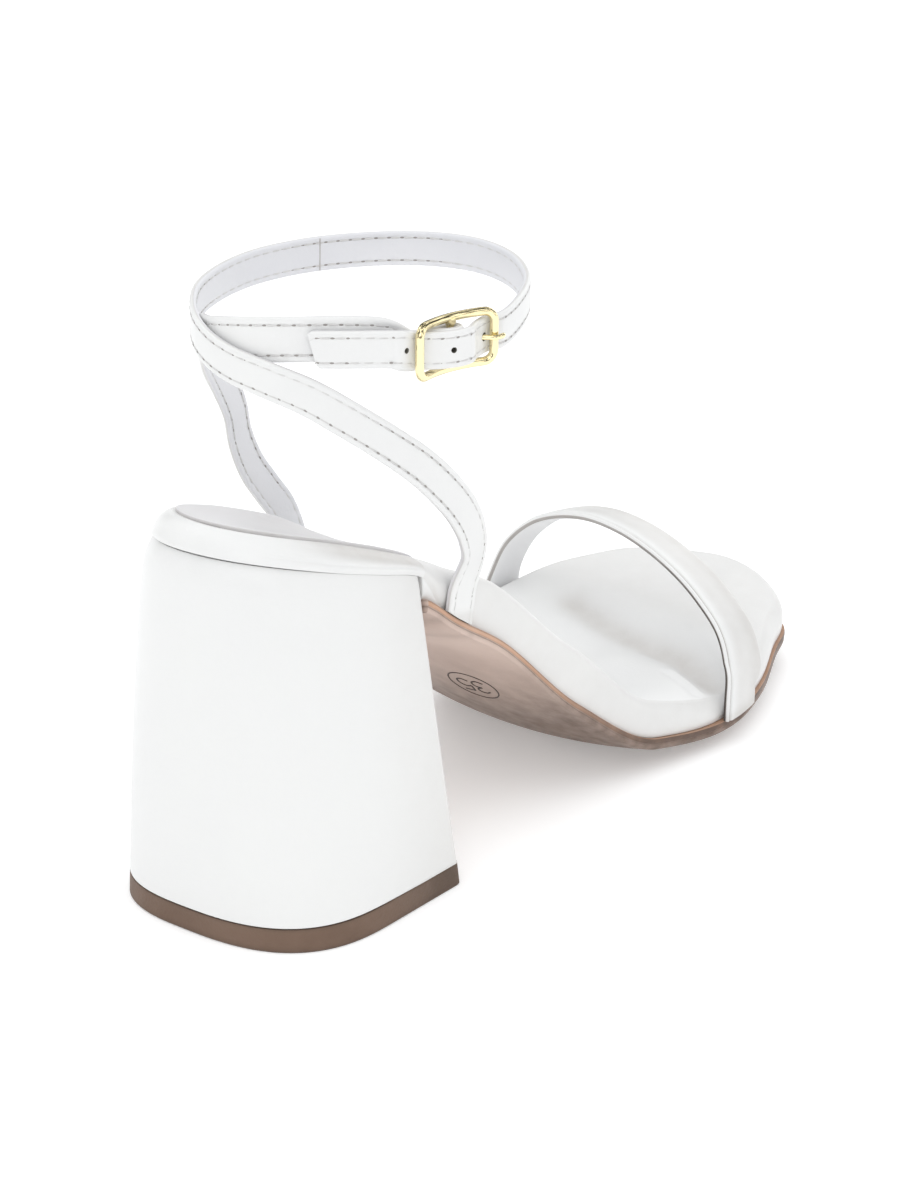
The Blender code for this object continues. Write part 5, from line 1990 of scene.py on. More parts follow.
            # Painted shade on the bed: along the deep fold, over the seat, and in front of the toe
            # strap.
            off = self._off(self.folds[self.deepest], *points.T)
            shade = self.fold_shade * swell(off, self.shade_width)
            shade += self.heel_shade.at(x) * (1 - self.heel_end.at(x))
            shade += self.toe_shade.at(x)
            keep(with_height(points, last.bed_height(*points.T)), np.clip(shade, 0.0, 1.0))
        made = np.array(rings)
        made = self._softened(made, ridge)
        self._roll(made, wall_start, ridge, on_block)
        self._press(made, ridge)
        return made, np.array(shade_lines_mask)

    def _softened(self, rings: Array, ridge: int) -> Array:
        """The rings with the ridge rounded over, as the padding makes it.

        Args:
            rings: The rings.
            ridge: The ridge's ring.

        Returns:
            The rounded rings.
        """
        for _ in range(self.soft_rounds):
            mean = (rings[:-2] + rings[2:]) / 2
            reach = swell(np.arange(1, len(rings) - 1) - ridge, self.soft_reach)[:, None]
            rings[1:-1, :, 2] += (mean[:, :, 2] - rings[1:-1, :, 2]) * reach * self.soft_share
        return rings

    def _roll(self, rings: Array, start: int, ridge: int, on_block: Array) -> None:
        """Presses the soft line of the wrap over the heel block, and its tension along the wall.

        Args:
            rings: The rings.
            start: The wall's first ring.
            ridge: The ridge's ring.
            on_block: Which points stand on the block.
        """
        foot = rings[start, :, 2]
        spine = self.last.spine_of(rings[start][:, :2])
        outward = unit(rings[start][:, :2] - spine)
        x = rings[start][:, 0]
        window = np.where(on_block, self.wrap_start.at(x) * (1 - self.wrap_end.at(x)), 0.0)
        along, upward, slow, phase = self.tension_waves
        for ring in range(start, ridge):
            rise = rings[ring, :, 2] - foot
            above = rise - self.roll_height
            line = -self.roll_depth * swell(above, self.roll_width) * window
            puff = self.puff * swell(above - self.puff_height, self.puff_width) * window
            wave = self.tension * np.sin(x * along + rise * upward) * np.sin(x * slow + phase)
            wave *= np.sin(math.pi * np.clip((ring - start) / (ridge - start), 0, 1))
            rings[ring, :, :2] += outward * (line + puff + wave)[:, None]

    @staticmethod
    def _off(fold: Fold, x: Array, y: Array) -> Array:
        """Distance of plan places from a fold's line.

        Args:
            fold: The fold.
            x: Places along the sole.
            y: Places across it.

        Returns:
            The distances.
        """
        off = np.full(x.shape, np.inf)
        for start, end in zip(np.array(fold.points), np.array(fold.points[1:])):
            way = end - start
            share = ((x - start[0]) * way[0] + (y - start[1]) * way[1]) / (way @ way)
            near = np.clip(share, 0.0, 1.0)
            reach = np.hypot(x - start[0] - near * way[0], y - start[1] - near * way[1])
            off = np.minimum(off, reach)
        return off

    def _press(self, rings: Array, ridge: int) -> None:
        """Presses the folds into the bed, and gives the padding its faint unevenness.

        Args:
            rings: The rings.
            ridge: The ridge's ring.
        """
        bed = rings[ridge - self.soft_rim :]
        x, y = bed[..., 0], bed[..., 1]
        for fold in self.folds:
            bed[..., 2] += fold.height * swell(self._off(fold, x, y), fold.width)
        along, skew, across, slant, phase = self.uneven_waves
        wave = np.sin(x * along + skew * y) * np.sin(y * across - slant * x + phase)
        bed[..., 2] += self.unevenness * wave


@dataclass
class InsoleSock(SubAssembly):
    """The thin sock that lies on the bed under the heel."""

    inset: float = 0.0066
    length: float = 0.0620
    thickness: float = 0.0006
    clearance: float = 0.0002
    rounding: float = 0.22
    places: int = 80
    arc_places: int = 24
    spine: Pair = (0.40, 0.70)
    under_shares: tuple[float, ...] = (0.03, 0.5, 0.96, 0.995)
    under_lift: float = -0.0004
    edge_lift: float = 0.0002
    profile: tuple[Pair, ...] = (
        (0.996, 0.75),
        (0.985, 0.97),
        (0.970, 1.0),
        (0.955, 0.93),
        (0.93, 0.93),
    )
    top_shares: tuple[float, float, int] = (0.90, 0.03, 24)
    # Painted shade: the edge's dark line, strongest at the back, and on the face.
    edge_line_and_shade: float = 0.05
    rear_edge_shade: float = 0.85
    rear_fade: Shade = Shade(1.0, 0.010, 0.040)
    face_shade: Shade = Shade(0.22, 0.012, 0.036)

    def build(self) -> None:
        """Builds the sock with its pressed edge."""
        edge = self._edge()
        middle = np.clip(edge[:, 0], *(share * self.length for share in self.spine))
        middle = np.column_stack([middle, np.zeros(len(edge))])

        def level(share: float, lift: float) -> Array:
            """A ring at a share of the outline, lifted off the bed.

            Args:
                share: Share of the outline.
                lift: How far off it lies.

            Returns:
                The ring.
            """
            points = middle + (edge - middle) * share
            height = self.last.bed_height(*points.T) + self.clearance + lift
            return with_height(points, height)

        rings = [level(share, self.under_lift) for share in self.under_shares]
        rings.append(level(1.0, self.edge_lift))
        rings += [level(share, lift * self.thickness) for share, lift in self.profile]
        rings += [level(share, self.thickness) for share in np.linspace(*self.top_shares)]
        rings = np.array(rings)
        shade_lines_mask = np.zeros(rings.shape[:2])
        # Painted shade on the edge rings, strongest at the back, and on the face.
        edge_rings, face = slice(3, 6), len(self.under_shares) + len(self.profile)
        fading = 1 - self.rear_fade.at(rings[..., 0])
        shade_lines_mask[edge_rings] = self.edge_line_and_shade + self.rear_edge_shade * fading[edge_rings]
        shade_lines_mask[face:] = self.face_shade.at(rings[..., 0])[face:]
        shell = Shell()
        shell.add_rings(rings, shade_lines_mask=shade_lines_mask, folded_caps=True)
        piece = shell.make("insole_heel_sock", [SOCK_SKIN], 60.0)
        self.keep(piece, "insole_sock", ["insole_sock"])

    def _edge(self) -> Array:
        """The sock's outline, with a rounded front end.

        Returns:
            Its points.
        """
        sides = []
        for path in self.last.outlines.values():
            drawn = self.last.drawn_in(path[path[:, 0] < self.last.length / 2], self.inset)
            front = self.length * (1 - self.rounding)
            straight = self.last.between(drawn, drawn[0, 0], front, self.places)
            straight[0, 1] = 0.0
            turn = np.linspace(0, math.pi / 2, self.arc_places)[1:]
            arc_x = straight[-1, 0] + self.length * self.rounding * np.sin(turn)
            arc = np.column_stack([arc_x, straight[-1, 1] * np.cos(turn)])
            arc[-1, 1] = 0.0
            sides.append(np.vstack([straight, arc]))
        return closed_ring(*sides)


@dataclass
class Anchors:
    """The way that a strap's foot stands on the outsole, flat against the footbed's wall."""

    last: Last
    shares: tuple[float, ...] = (0.0, 0.25, 0.58)

    def rows(
        self, x: float, side: Side, width: float, thickness: float, lean: float = 0.0
    ) -> list[Array]:
        """The rows of a strap's foot.

        Args:
            x: Its place along the sole.
            side: The side of the foot.
            width: The strap's width.
            thickness: The strap's thickness.
            lean: How far forward the foot leans over the wall's height.

        Returns:
            Rows of six columns, from the outsole up.
        """
        last, sign = self.last, side.value
        rear, front = last.half_width(x - width / 2, side), last.half_width(x + width / 2, side)
        bulge = max(float(last.half_width(x, side)) - (rear + front) / 2, 0.0)
        normal = unit(np.array([rear - front, sign * width, 0.0]))
        y = sign * ((rear + front) / 2 + bulge + GAP + thickness / 2)
        z = float(last.outsole_top(x)) + GAP
        places = [[x + share * lean, y, z + share * last.wall] for share in self.shares]
        return [np.array([*place, *normal]) for place in places]

    def cut(self, rings: Array, reach: int = 16) -> Array:
        """Rings with the first ones cut to the outsole that the strap stands on.

        Args:
            rings: The rings.
            reach: How many rings can reach below the outsole.

        Returns:
            The cut rings.
        """
        for i in range(reach):
            floor = self.last.outsole_top(rings[i, :, 0]) + GAP / 2
            rings[i, :, 2] = floor if i == 0 else np.maximum(rings[i, :, 2], floor)
        return rings


@dataclass
class ToeStrap(SubAssembly):
    """The plain strap over the toes, with a rolled rear edge behind a sewn channel."""

    anchors: Anchors
    width: float = 0.0134
    thickness: float = 0.0022
    rise: float = 0.0330
    lateral_x: float = 0.1509
    medial_x: float = 0.1605
    tilt: float = 9.0
    step: float = 0.0008
    broad: float = 3.0
    span_length: float = 0.16
    span_turn: float = 0.22
    places: int = 96
    channel: Pair = (-0.900, -0.845)
    lining: Pair = (-0.93, -0.2)
    cut_across: float = -0.94
    cut_out: Pair = (-0.72, -0.02)
    # The cut edge's darkness: partly its own tone, partly painted shade that fades from the outer
    # foot.
    cut_tone_and_shade: float = 0.90
    cut_fade: Shade = Shade(0.62, 0.14, 0.58)
    # Painted shade in the channel, over the face and at both ends.
    channel_shade: float = 0.30
    channel_middle: float = -0.87
    channel_width: float = 0.030
    rear_shade: Shade = Shade(0.44, -0.80, -0.30)
    front_shade: Shade = Shade(0.34, 0.0, 0.8)
    end_shade: float = 0.6
    end_width: float = 0.0016
    pucker: float = 0.00007
    pucker_pitch: float = 0.0046
    pucker_middle: float = -0.60
    pucker_width: float = 0.16
    softness: float = 0.00006

    def build(self) -> None:
        """Builds the strap, with its lining painted lighter against the shade under it, and small
        puckers along its channel.
        """
        path = StrapPath.through(self._rows(), self._even, self.thickness, self.step)
        closed = [*ROLLED_SECTION, ROLLED_SECTION[0]]
        corners = [[corner.across * self.broad, corner.out] for corner in closed]
        section = curve(corners, corners[-2], corners[1], 12)[:-1]
        section = self._evened(section) / np.array([self.broad, 1.0])
        rings = path.rings(section)
        rings = self.anchors.cut(rings)
        rings = self.anchors.cut(rings[::-1])[::-1]
        across, out = section.T
        channel = (across > self.channel[0]) & (across < self.channel[1]) & (out > 0)
        inside = (across > self.lining[0]) & (out < self.lining[1])
        cut = (across < self.cut_across) & (out > self.cut_out[0]) & (out < self.cut_out[1])
        kinds = np.select([cut, channel, inside], [3, 2, 1], 0)
        slots = np.repeat(kinds[None], len(rings) - 1, axis=0)
        self._pucker(rings, path, section)
        # Painted shade in the channel, over the face and at both ends; on the cut edge, painted
        # shade over its own dark tone.
        shade_lines_mask = np.zeros(rings.shape[:2])
        near = swell(across - self.channel_middle, self.channel_width) * (out > 0)
        shade_lines_mask += self.channel_shade * near[None]
        face = self.rear_shade.at(across) + self.front_shade.at(across)
        shade_lines_mask += (face * (out > 0))[None]
        ends = swell(np.minimum(path.along, path.along[-1] - path.along), self.end_width)
        shade_lines_mask += self.end_shade * ends[:, None]
        shade = self.cut_tone_and_shade - self.cut_fade.at(path.along / path.along[-1])
        shade_lines_mask = np.where(cut[None], shade[:, None], shade_lines_mask)
        shell = Shell()
        shell.add_rings(rings, slots, np.clip(shade_lines_mask, 0, 1))
        piece = shell.make("toe_strap_band", [WHITE_SKIN, TOE_LINING_PAINTED_LIGHT, SEAM_SHADE, CUT_EDGE_AND_SHADE], 50.0)
        self.keep(piece, "toe_strap", ["toe_strap"])

    def _even(self, from_foot: Array, to_end: Array) -> Array:
        """The strap's width, the same all along."""
        return np.full(len(from_foot), self.width)

    def _evened(self, section: Array) -> Array:
        """The section with its points spread by arc length, closer where it turns.

        Args:
            section: The strap's section.

        Returns:
            Its points.
        """
        loop = np.vstack([section, section[:1]])
        heading = np.unwrap(np.arctan2(*np.gradient(loop, axis=0).T))
        turned = np.concatenate([[0.0], np.cumsum(np.abs(np.diff(heading)))])
        measure = lengths(loop) / self.span_length + turned / self.span_turn
        return resample(loop, measure, self.places + 1)[:-1]

    def _pucker(self, rings: Array, path: StrapPath, section: Array) -> None:
        """Draws the face in slightly along the channel, and lets it swell between.

        Args:
            rings: The rings.
            path: The strap's path.
            section: The strap's section.
        """
        across, out = section.T
        near = swell(across - self.pucker_middle, self.pucker_width) * np.clip(out, 0, 1)
        uneven = 1.2 * np.sin(path.along * 90)
        wave = 0.5 + 0.5 * np.sin(path.along * 2 * math.pi / self.pucker_pitch + uneven)
        soft = np.sin(path.along * 130 + 0.6) * np.clip(1 - across**2, 0, 1)[:, None]
        push = -self.pucker * wave[:, None] * near[None]
        push += self.softness * soft.T * np.clip(out, 0, 1)[None]
        rings += path.facing[:, None] * push[..., None]

    def _rows(self) -> list[Array]:
        """The strap's middle line from the outer foot over the toes to the inner foot.

        Returns:
            Rows of six columns.
        """
        outer = self.anchors.rows(self.lateral_x, Side.LATERAL, self.width, self.thickness)
        inner = self.anchors.rows(self.medial_x, Side.MEDIAL, self.width, self.thickness)
        low = min(outer[0][2], inner[0][2])
        middle, reach = (outer[0][1] + inner[0][1]) / 2, (inner[0][1] - outer[0][1]) / 2
        stretch = self.medial_x - self.lateral_x
        places = np.array(
            [
                [
                    self.lateral_x + stretch * row.forward,
                    middle + reach * row.across,
                    low + self.rise * row.rise,
                ]
                for row in TOE_ARCH
            ]
        )
        rows = list(outer)
        for place, heading, row in zip(places, unit(np.gradient(places, axis=0)), TOE_ARCH):
            tilt = math.radians(self.tilt * row.tilt)
            forward = np.array([math.cos(tilt), 0.0, -math.sin(tilt)])
            rows.append(np.concatenate([place, unit(np.cross(forward, heading))]))
        return rows + list(reversed(inner))


@dataclass
class AnkleLoop:
    """The loop that both ankle straps follow, and the buckle's axes on it."""

    length: float = 0.0788
    width: float = 0.0608
    centre_x: float = 0.0562
    centre_y: float = -0.0014
    height: float = 0.1234
    strap: float = 0.0016
    buckle_around: float = -102.0
    buckle_rise: float = 0.1199
    buckle_sink: float = 0.0007

    def row(self, wrap: Wrap) -> Array:
        """Place and outward direction of a point round the ankle.

        Args:
            wrap: The point.

        Returns:
            A row of six columns.
        """
        angle = math.radians(wrap.around)
        half = np.array([self.length / 2, self.width / 2])
        place = np.array([math.cos(angle), math.sin(angle)])
        normal = unit(place / half)
        xy = np.array([self.centre_x, self.centre_y]) + half * place * wrap.out
        xy = xy + normal * wrap.lift * self.strap
        return np.array([*xy, wrap.rise * self.height, *normal, 0.0])

    @cached_property
    def axes(self) -> tuple[Array, Array, Array]:
        """The buckle's centre, and its directions along the strap and out from the ankle.

        Returns:
            The three of them.
        """
        row = self.row(Wrap(self.buckle_around, 1.0, self.buckle_rise / self.height, 0.0))
        out = row[3:]
        return row[:3] - out * self.buckle_sink, -unit(np.cross(out, UP)), out

    def at_buckle(self, along: float, out: float, up: float = 0.0) -> Array:
        """A place from distances along the buckle's three axes."""
        centre, forward, outward = self.axes
        return centre + forward * along + outward * out + UP * up

    def buckle_row(
        self, along: float, out: float, facing: Optional[Array] = None, up: float = 0.0
    ) -> Array:
        """A row of a strap's middle line at the buckle."""
        facing = self.axes[2] if facing is None else facing
        return np.concatenate([self.at_buckle(along, out, up), facing])


@dataclass
class BuckleSizes:
    """Sizes of the buckle, and what follows from them for the straps that pass it."""

    length: float = 0.0220
    height: float = 0.0122
    wire: float = 0.0018
    corner: float = 0.0026
    arch: float = 0.0021
    bar: float = 0.00075
    prong: float = 0.00055
    hole_radius: float = 0.0009
    hole_from_bar: float = 0.0077
    rise_share: float = 0.55
    strap: float = 0.0016

    @property
    def side_bar(self) -> float:
        """Distance from the centre bar to the middle of a side bar."""
        return self.length / 2 - self.wire / 2

    @property
    def fold(self) -> float:
        """Radius of the back strap's fold round the centre bar."""
        return self.bar + GAP + self.strap / 2

    @property
    def over_fold(self) -> float:
        """How far out the front strap runs over the fold."""
        return self.fold + self.strap + GAP

    @property
    def under_side_bar(self) -> float:
        """How far out the front strap runs under a side bar."""
        return self.arch - self.wire / 2 - GAP - self.strap / 2

    @property
    def on_the_rise(self) -> float:
        """How far out the front strap runs between the two."""
        return self.under_side_bar + self.rise_share * (self.over_fold - self.under_side_bar)


@dataclass
class AnkleStraps(SubAssembly):
    """The two sewn straps round the ankle, which cross at its back and meet in the buckle."""

    anchors: Anchors
    loop: AnkleLoop
    buckle: BuckleSizes
    stitching: Stitching
    front_width: float = 0.0076
    front_foot_width: float = 0.0089
    front_foot_taper: float = 0.0600
    back_width: float = 0.0092
    back_foot_width: float = 0.0068
    buckle_end_width: float = 0.0072
    taper_start: float = 0.0295
    taper_length: float = 0.0180
    foot_taper: float = 0.0700
    lateral_x: float = 0.0571
    lateral_lean: float = 0.0025
    medial_x: float = 0.0638
    fold_return: float = 0.0058
    slant: float = 0.28
    tail_rise: float = 0.0014
    spare_hole: float = 0.0006
    shadow_plug_span: Pair = (-0.00078, -0.0004)
    tip_length: float = 0.0012
    tip_width: float = 0.84
    # A dark line along each edge, and painted shade in the stitch rows and at the strap's foot.
    edge_line_and_shade: float = 0.7
    row_shade: float = 0.16
    foot_shade_length: float = 0.0014
    swelling: float = 0.00004
    looseness: float = 0.00007
    row_starts: float = 0.0030
    front_row_stop: float = 0.0024
    back_row_stop: float = 0.0015
    tip_row: float = 0.0016
    join: Wrap = Wrap(-298, 1.0, 0.995, 0)
    join_radius: float = 0.00011

    def build(self) -> None:
        """Builds both straps, sews them and punches the front one."""
        front = StrapPath.through(self._front_rows(), self._front_taper, self.loop.strap)
        back = StrapPath.through(self._back_rows(), self._back_taper, self.loop.strap)
        section = self._section()
        for name, path, slant in (("front", front, self.slant), ("back", back, 0.0)):
            rings = self.anchors.cut(path.rings(section, slant))
            self._ease(rings, path, section)
            slots = np.repeat(np.where(section[:, 1] < 0, 1, 0)[None], len(rings) - 1, axis=0)
            # The edges' dark line, and painted shade in the stitch rows and at the foot.
            seam = swell(np.abs(section[:, 0]) - 1.0, 0.03) * swell(section[:, 1], 0.30)
            row = swell(np.abs(section[:, 0]) - self.stitching.row, 0.05)
            shade_and_lines = np.clip(self.edge_line_and_shade * seam + self.row_shade * row, 0, 1)
            shade_lines_mask = shade_and_lines[None] * np.ones((len(rings), 1))
            shade_lines_mask += self.edge_line_and_shade * swell(path.along, self.foot_shade_length)[:, None]
            shell = Shell()
            shell.add_rings(rings, slots, np.clip(shade_lines_mask, 0, 1))
            piece = shell.make(f"ankle_strap_{name}", [WHITE_SKIN, LINING], 50.0)
            if name == "front":
                self._punch_front(piece, path)
            self.keep(piece, "ankle_straps", ["ankle_straps"])
        self._sew(front, back)
        self._join_mark(front)

    def _section(self, broad: float = 4.0) -> Array:
        """The straps' section: crowned faces with stitch troughs, and a line along each edge.

        Args:
            broad: How much wider than high it is drawn, to spread its points well.

        Returns:
            Its points, as shares of the half width and half thickness.
        """
        face = [[corner.across * broad, corner.out] for corner in SEWN_FACE]
        half = curve(face, [-face[1][0], face[1][1]], None, 6) / np.array([broad, 1.0])
        mirrored = half[::-1] * np.array([-1.0, 1.0])
        outer = np.vstack([mirrored, half[1:]])
        inner = outer[::-1] * np.array([1.0, -0.97])
        return np.vstack([outer, inner])

    def _front_taper(self, from_foot: Array, to_end: Array) -> Array:
        """The front strap's width, more at its foot and rounded off a little at its free tip.

        Args:
            from_foot: Distances from the foot.
            to_end: Distances to the far end.

        Returns:
            The widths.
        """
        tip = 1 - np.clip(to_end / self.tip_length, 0, 1)
        tip = np.sqrt(np.clip(1 - tip**2, 0, 1))
        wide = np.clip(1 - from_foot / self.front_foot_taper, 0.0, 1.0)
        width = self.front_width + (self.front_foot_width - self.front_width) * wide
        return width * (self.tip_width + (1 - self.tip_width) * tip)

    def _back_taper(self, from_foot: Array, to_end: Array) -> Array:
        """The back strap's width, narrower at its foot and at the buckle.

        Args:
            from_foot: Distances from the foot.
            to_end: Distances to the far end.

        Returns:
            The widths.
        """
        wide = np.clip(1 - (self.taper_start - to_end) / self.taper_length, 0.0, 1.0)
        buckle_end = self.buckle_end_width + (self.back_width - self.buckle_end_width) * wide
        wide = np.clip(from_foot / self.foot_taper, 0.0, 1.0)
        foot_end = self.back_foot_width + (self.back_width - self.back_foot_width) * wide
        return np.minimum(foot_end, buckle_end)

    def _ease(self, rings: Array, path: StrapPath, section: Array) -> None:
        """Lets the strap's face swell and sink softly between its stitches.

        Args:
            rings: The rings.
            path: The strap's path.
            section: The strap's section.
        """
        near = swell(np.abs(section[:, 0]) - self.stitching.row, 0.20) * np.sign(section[:, 1])
        wave = np.sin(path.along * 2 * math.pi / self.stitching.pitch)
        push = self.swelling * wave[:, None] * near[None]
        slow = self.looseness * np.sin(path.along * 95 + 0.4)[:, None]
        slow = slow * np.sign(section[:, 1])[None]
        rings += path.facing[:, None] * (push + slow)[..., None]

    def _front_rows(self) -> list[Array]:
        """The front strap: from the outer waist round the ankle, and through the buckle.

        Returns:
            Rows of six columns.
        """
        sizes, loop = self.buckle, self.loop
        thickness = loop.strap
        foot = (self.lateral_x, Side.LATERAL, self.front_foot_width, thickness)
        rows = self.anchors.rows(*foot, lean=self.lateral_lean)
        rows += [loop.row(wrap) for wrap in FRONT_STRAP_RISE]
        under, rise, over = sizes.under_side_bar, sizes.on_the_rise, sizes.over_fold
        past = sizes.side_bar + 2.5 * thickness
        rows += [
            loop.buckle_row(past, under),
            loop.buckle_row(sizes.side_bar, under),
            loop.buckle_row(0.46 * sizes.side_bar, rise),
            loop.buckle_row(sizes.fold, over),
            loop.buckle_row(-sizes.fold, over),
            loop.buckle_row(-0.55 * sizes.side_bar, rise),
            loop.buckle_row(-sizes.side_bar, under, up=self.tail_rise / 3),
            loop.buckle_row(-past, under, up=self.tail_rise),
        ]
        return rows + [loop.row(wrap) for wrap in FRONT_STRAP_TAIL]

    def _back_rows(self) -> list[Array]:
        """The back strap: from the inner waist round the back, and folded round the bar.

        Returns:
            Rows of six columns.
        """
        sizes, loop = self.buckle, self.loop
        thickness, fold = loop.strap, sizes.fold
        rows = self.anchors.rows(self.medial_x, Side.MEDIAL, self.back_foot_width, thickness)
        rows += [loop.row(wrap) for wrap in BACK_STRAP_RISE]
        below = sizes.under_side_bar - thickness - GAP
        rows += [
            loop.buckle_row(-sizes.side_bar, below),
            loop.buckle_row(-0.5 * sizes.side_bar, 0.55 * below + 0.45 * fold),
            loop.buckle_row(-1.25 * thickness, 0.96 * fold),
        ]
        _, forward, outward = loop.axes
        for degrees in range(90, -91, -30):
            turn = math.radians(degrees)
            facing = forward * math.cos(turn) + outward * math.sin(turn)
            rows.append(loop.buckle_row(fold * math.cos(turn), fold * math.sin(turn), facing))
        rows.append(loop.buckle_row(-1.375 * thickness, -1.06 * fold, -outward))
        rows.append(loop.buckle_row(-self.fold_return, -1.42 * fold, -outward))
        return rows

    def _punch_front(self, piece: Piece, path: StrapPath) -> None:
        """Punches the prong's hole and two smaller spare ones, with dark plugs of painted shade in
        these.

        Args:
            piece: The strap.
            path: Its path.
        """
        sizes = self.buckle
        shadow_plugs = Shell()
        for along, out, radius in (
            (sizes.hole_from_bar, sizes.on_the_rise, sizes.hole_radius),
            (-1.6 * sizes.fold, sizes.over_fold, self.spare_hole),
            (-1.26 * sizes.side_bar, sizes.under_side_bar, self.spare_hole),
        ):
            centre, _, facing, _, _ = path.at(path.nearest(self.loop.at_buckle(along, out)))
            punch(piece, centre, facing, radius)
            # A dark plug of painted shade deep in each spare hole.
            if radius == self.spare_hole:
                ends = np.array(self.shadow_plug_span)[:, None] * facing + centre
                shadow_plugs.add_rings(rod_rings(ends, radius * 1.05, UP))
        self.keep(shadow_plugs.make("ankle_strap_hole_shadow_plugs", [PUNCHED_HOLE_SHADE]), "ankle_straps")

    def _sew(self, front: StrapPath, back: StrapPath) -> None:
        """Sews both straps along both edges, on both faces, and marks three needle holes across the
        free tip with painted shade.

        Args:
            front: The front strap.
            back: The back strap.
        """
        sewing, shell, start = self.stitching, Shell(), self.row_starts
        total = front.along[-1]
        rows = ((front, self.front_row_stop), (back, self.back_row_stop))
        for side in (1.0, -1.0):
            for across in (-sewing.row, sewing.row):
                for path, stop in rows:
                    sewing.sew(shell, path, start, path.along[-1] - stop, across, side)
        centre, tangent, facing, sideways, half = front.at(total - self.tip_row)
        for share in (-0.35, 0.0, 0.35):
            place = centre + sideways * half * share + tangent * half * share * self.slant
            top = facing * (front.thickness / 2 * 0.92 + 0.00005)
            sewing.prick(shell, place + top, sideways, tangent)
        piece = shell.make("ankle_strap_stitches", [THREAD, NEEDLE_HOLE_SHADE], 60.0)
        self.keep(piece, "ankle_straps")

    def _join_mark(self, front: StrapPath) -> None:
        """The cut end of the lining, where its two lengths meet inside the loop.

        Args:
            front: The front strap.
        """
        row = self.loop.row(self.join)
        centre, tangent, facing, sideways, half = front.at(front.nearest(row[:3]))
        shell = Shell()
        ends = [centre + sideways * half * share for share in np.linspace(-0.93, 0.93, 12)]
        ends = np.array(ends) - facing * front.thickness / 2 * 0.98
        shell.add_rings(rod_rings(ends, self.join_radius, tangent, 8))
        self.keep(shell.make("ankle_strap_lining_join", [SEAM_SHADE]), "ankle_straps")


@dataclass
class Buckle(SubAssembly):
    """The plated buckle: its curved frame with a centre bar, and the prong."""

    loop: AnkleLoop
    sizes: BuckleSizes
    collar: float = 0.0012
    collar_profile: tuple[Pair, ...] = (
        (0.0, 1.0),
        (0.0008, 1.0),
        (0.0014, 0.82),
        (0.0018, 0.55),
    )

    def build(self) -> None:
        """Builds the frame and the prong."""
        sizes, loop = self.sizes, self.loop
        shell = Shell()
        line = np.array([loop.at_buckle(a, self._arch(a), u) for a, u in self._outline()])
        shell.add_rings(rod_rings(line, sizes.wire / 2, loop.axes[2], 22, True), closed=True)
        half = sizes.height / 2 - sizes.wire / 2
        bar = np.array([loop.at_buckle(0.0, 0.0, u) for u in np.linspace(-half, half, 14)])
        shell.add_rings(rod_rings(bar, sizes.bar, loop.axes[2], 18))
        depths, shares = np.array(self.collar_profile).T
        for end in (-1.0, 1.0):
            places = [loop.at_buckle(0.0, 0.0, end * (half - depth)) for depth in depths]
            radii = shares * self.collar
            shell.add_rings(rod_rings(np.array(places), radii, loop.axes[2], 18))
        frame_piece = shell.make("buckle_frame_plated", [GOLD], 50.0)
        self.keep(frame_piece, "buckle_frame", ["buckle_frame"])
        shell = Shell()
        path = curve(self._prong_points(), per_span=6)
        radius = np.full(len(path), sizes.prong)
        radius[-8:] *= np.sqrt(np.clip(1 - (np.arange(8) / 8.5) ** 2.4, 0.05, 1))
        shell.add_rings(rod_rings(path, radius, UP, 14))
        self.keep(shell.make("buckle_prong_plated", [GOLD], 50.0), "buckle_prong", ["buckle_prong"])

    def _arch(self, along: float) -> float:
        """How far the curved frame stands out at a distance from the centre bar."""
        return self.sizes.arch * (along / self.sizes.side_bar) ** 2

    def _outline(self) -> list[Pair]:
        """The frame's middle line, along the strap and up, once round.

        Returns:
            Places along the strap and up.
        """
        sizes = self.sizes
        half_length, half_height = sizes.side_bar, sizes.height / 2 - sizes.wire / 2
        corner = sizes.corner - sizes.wire / 4
        made = []
        for side_x, side_y, start in ((1, 1, 0), (-1, 1, 90), (-1, -1, 180), (1, -1, 270)):
            for degrees in np.arange(start, start + 91, 9):
                turn = math.radians(float(degrees))
                along = side_x * (half_length - corner) + corner * math.cos(turn)
                made.append((along, side_y * (half_height - corner) + corner * math.sin(turn)))
            if side_x == side_y:
                for share in np.linspace(1, -1, 18)[1:-1]:
                    made.append((side_x * share * (half_length - corner), side_y * half_height))
            else:
                for share in np.linspace(1, -1, 8)[1:-1]:
                    made.append((side_x * half_length, side_y * share * (half_height - corner)))
        return made

    def _prong_points(self) -> list[Array]:
        """The prong's middle line: round the bar, under the strap, and up over the side bar.

        Returns:
            Its points.
        """
        sizes, loop = self.sizes, self.loop
        ring = sizes.bar + GAP + sizes.prong
        rest = sizes.arch + sizes.wire / 2 + sizes.prong + GAP / 3
        points = []
        for degrees in range(-20, -331, -22):
            turn = math.radians(degrees)
            points.append(loop.at_buckle(ring * math.cos(turn), ring * math.sin(turn)))
        tongue = (
            (0.0030, 0.90 * ring),
            (0.0054, 0.62 * ring),
            (sizes.hole_from_bar - 0.0004, 0.0016),
            (sizes.side_bar - 0.0012, 0.0033),
            (sizes.side_bar, rest),
            (sizes.side_bar + 0.0010, rest - 0.0001),
            (sizes.side_bar + 0.0018, rest - 0.0006),
        )
        return points + [loop.at_buckle(*place) for place in tongue]


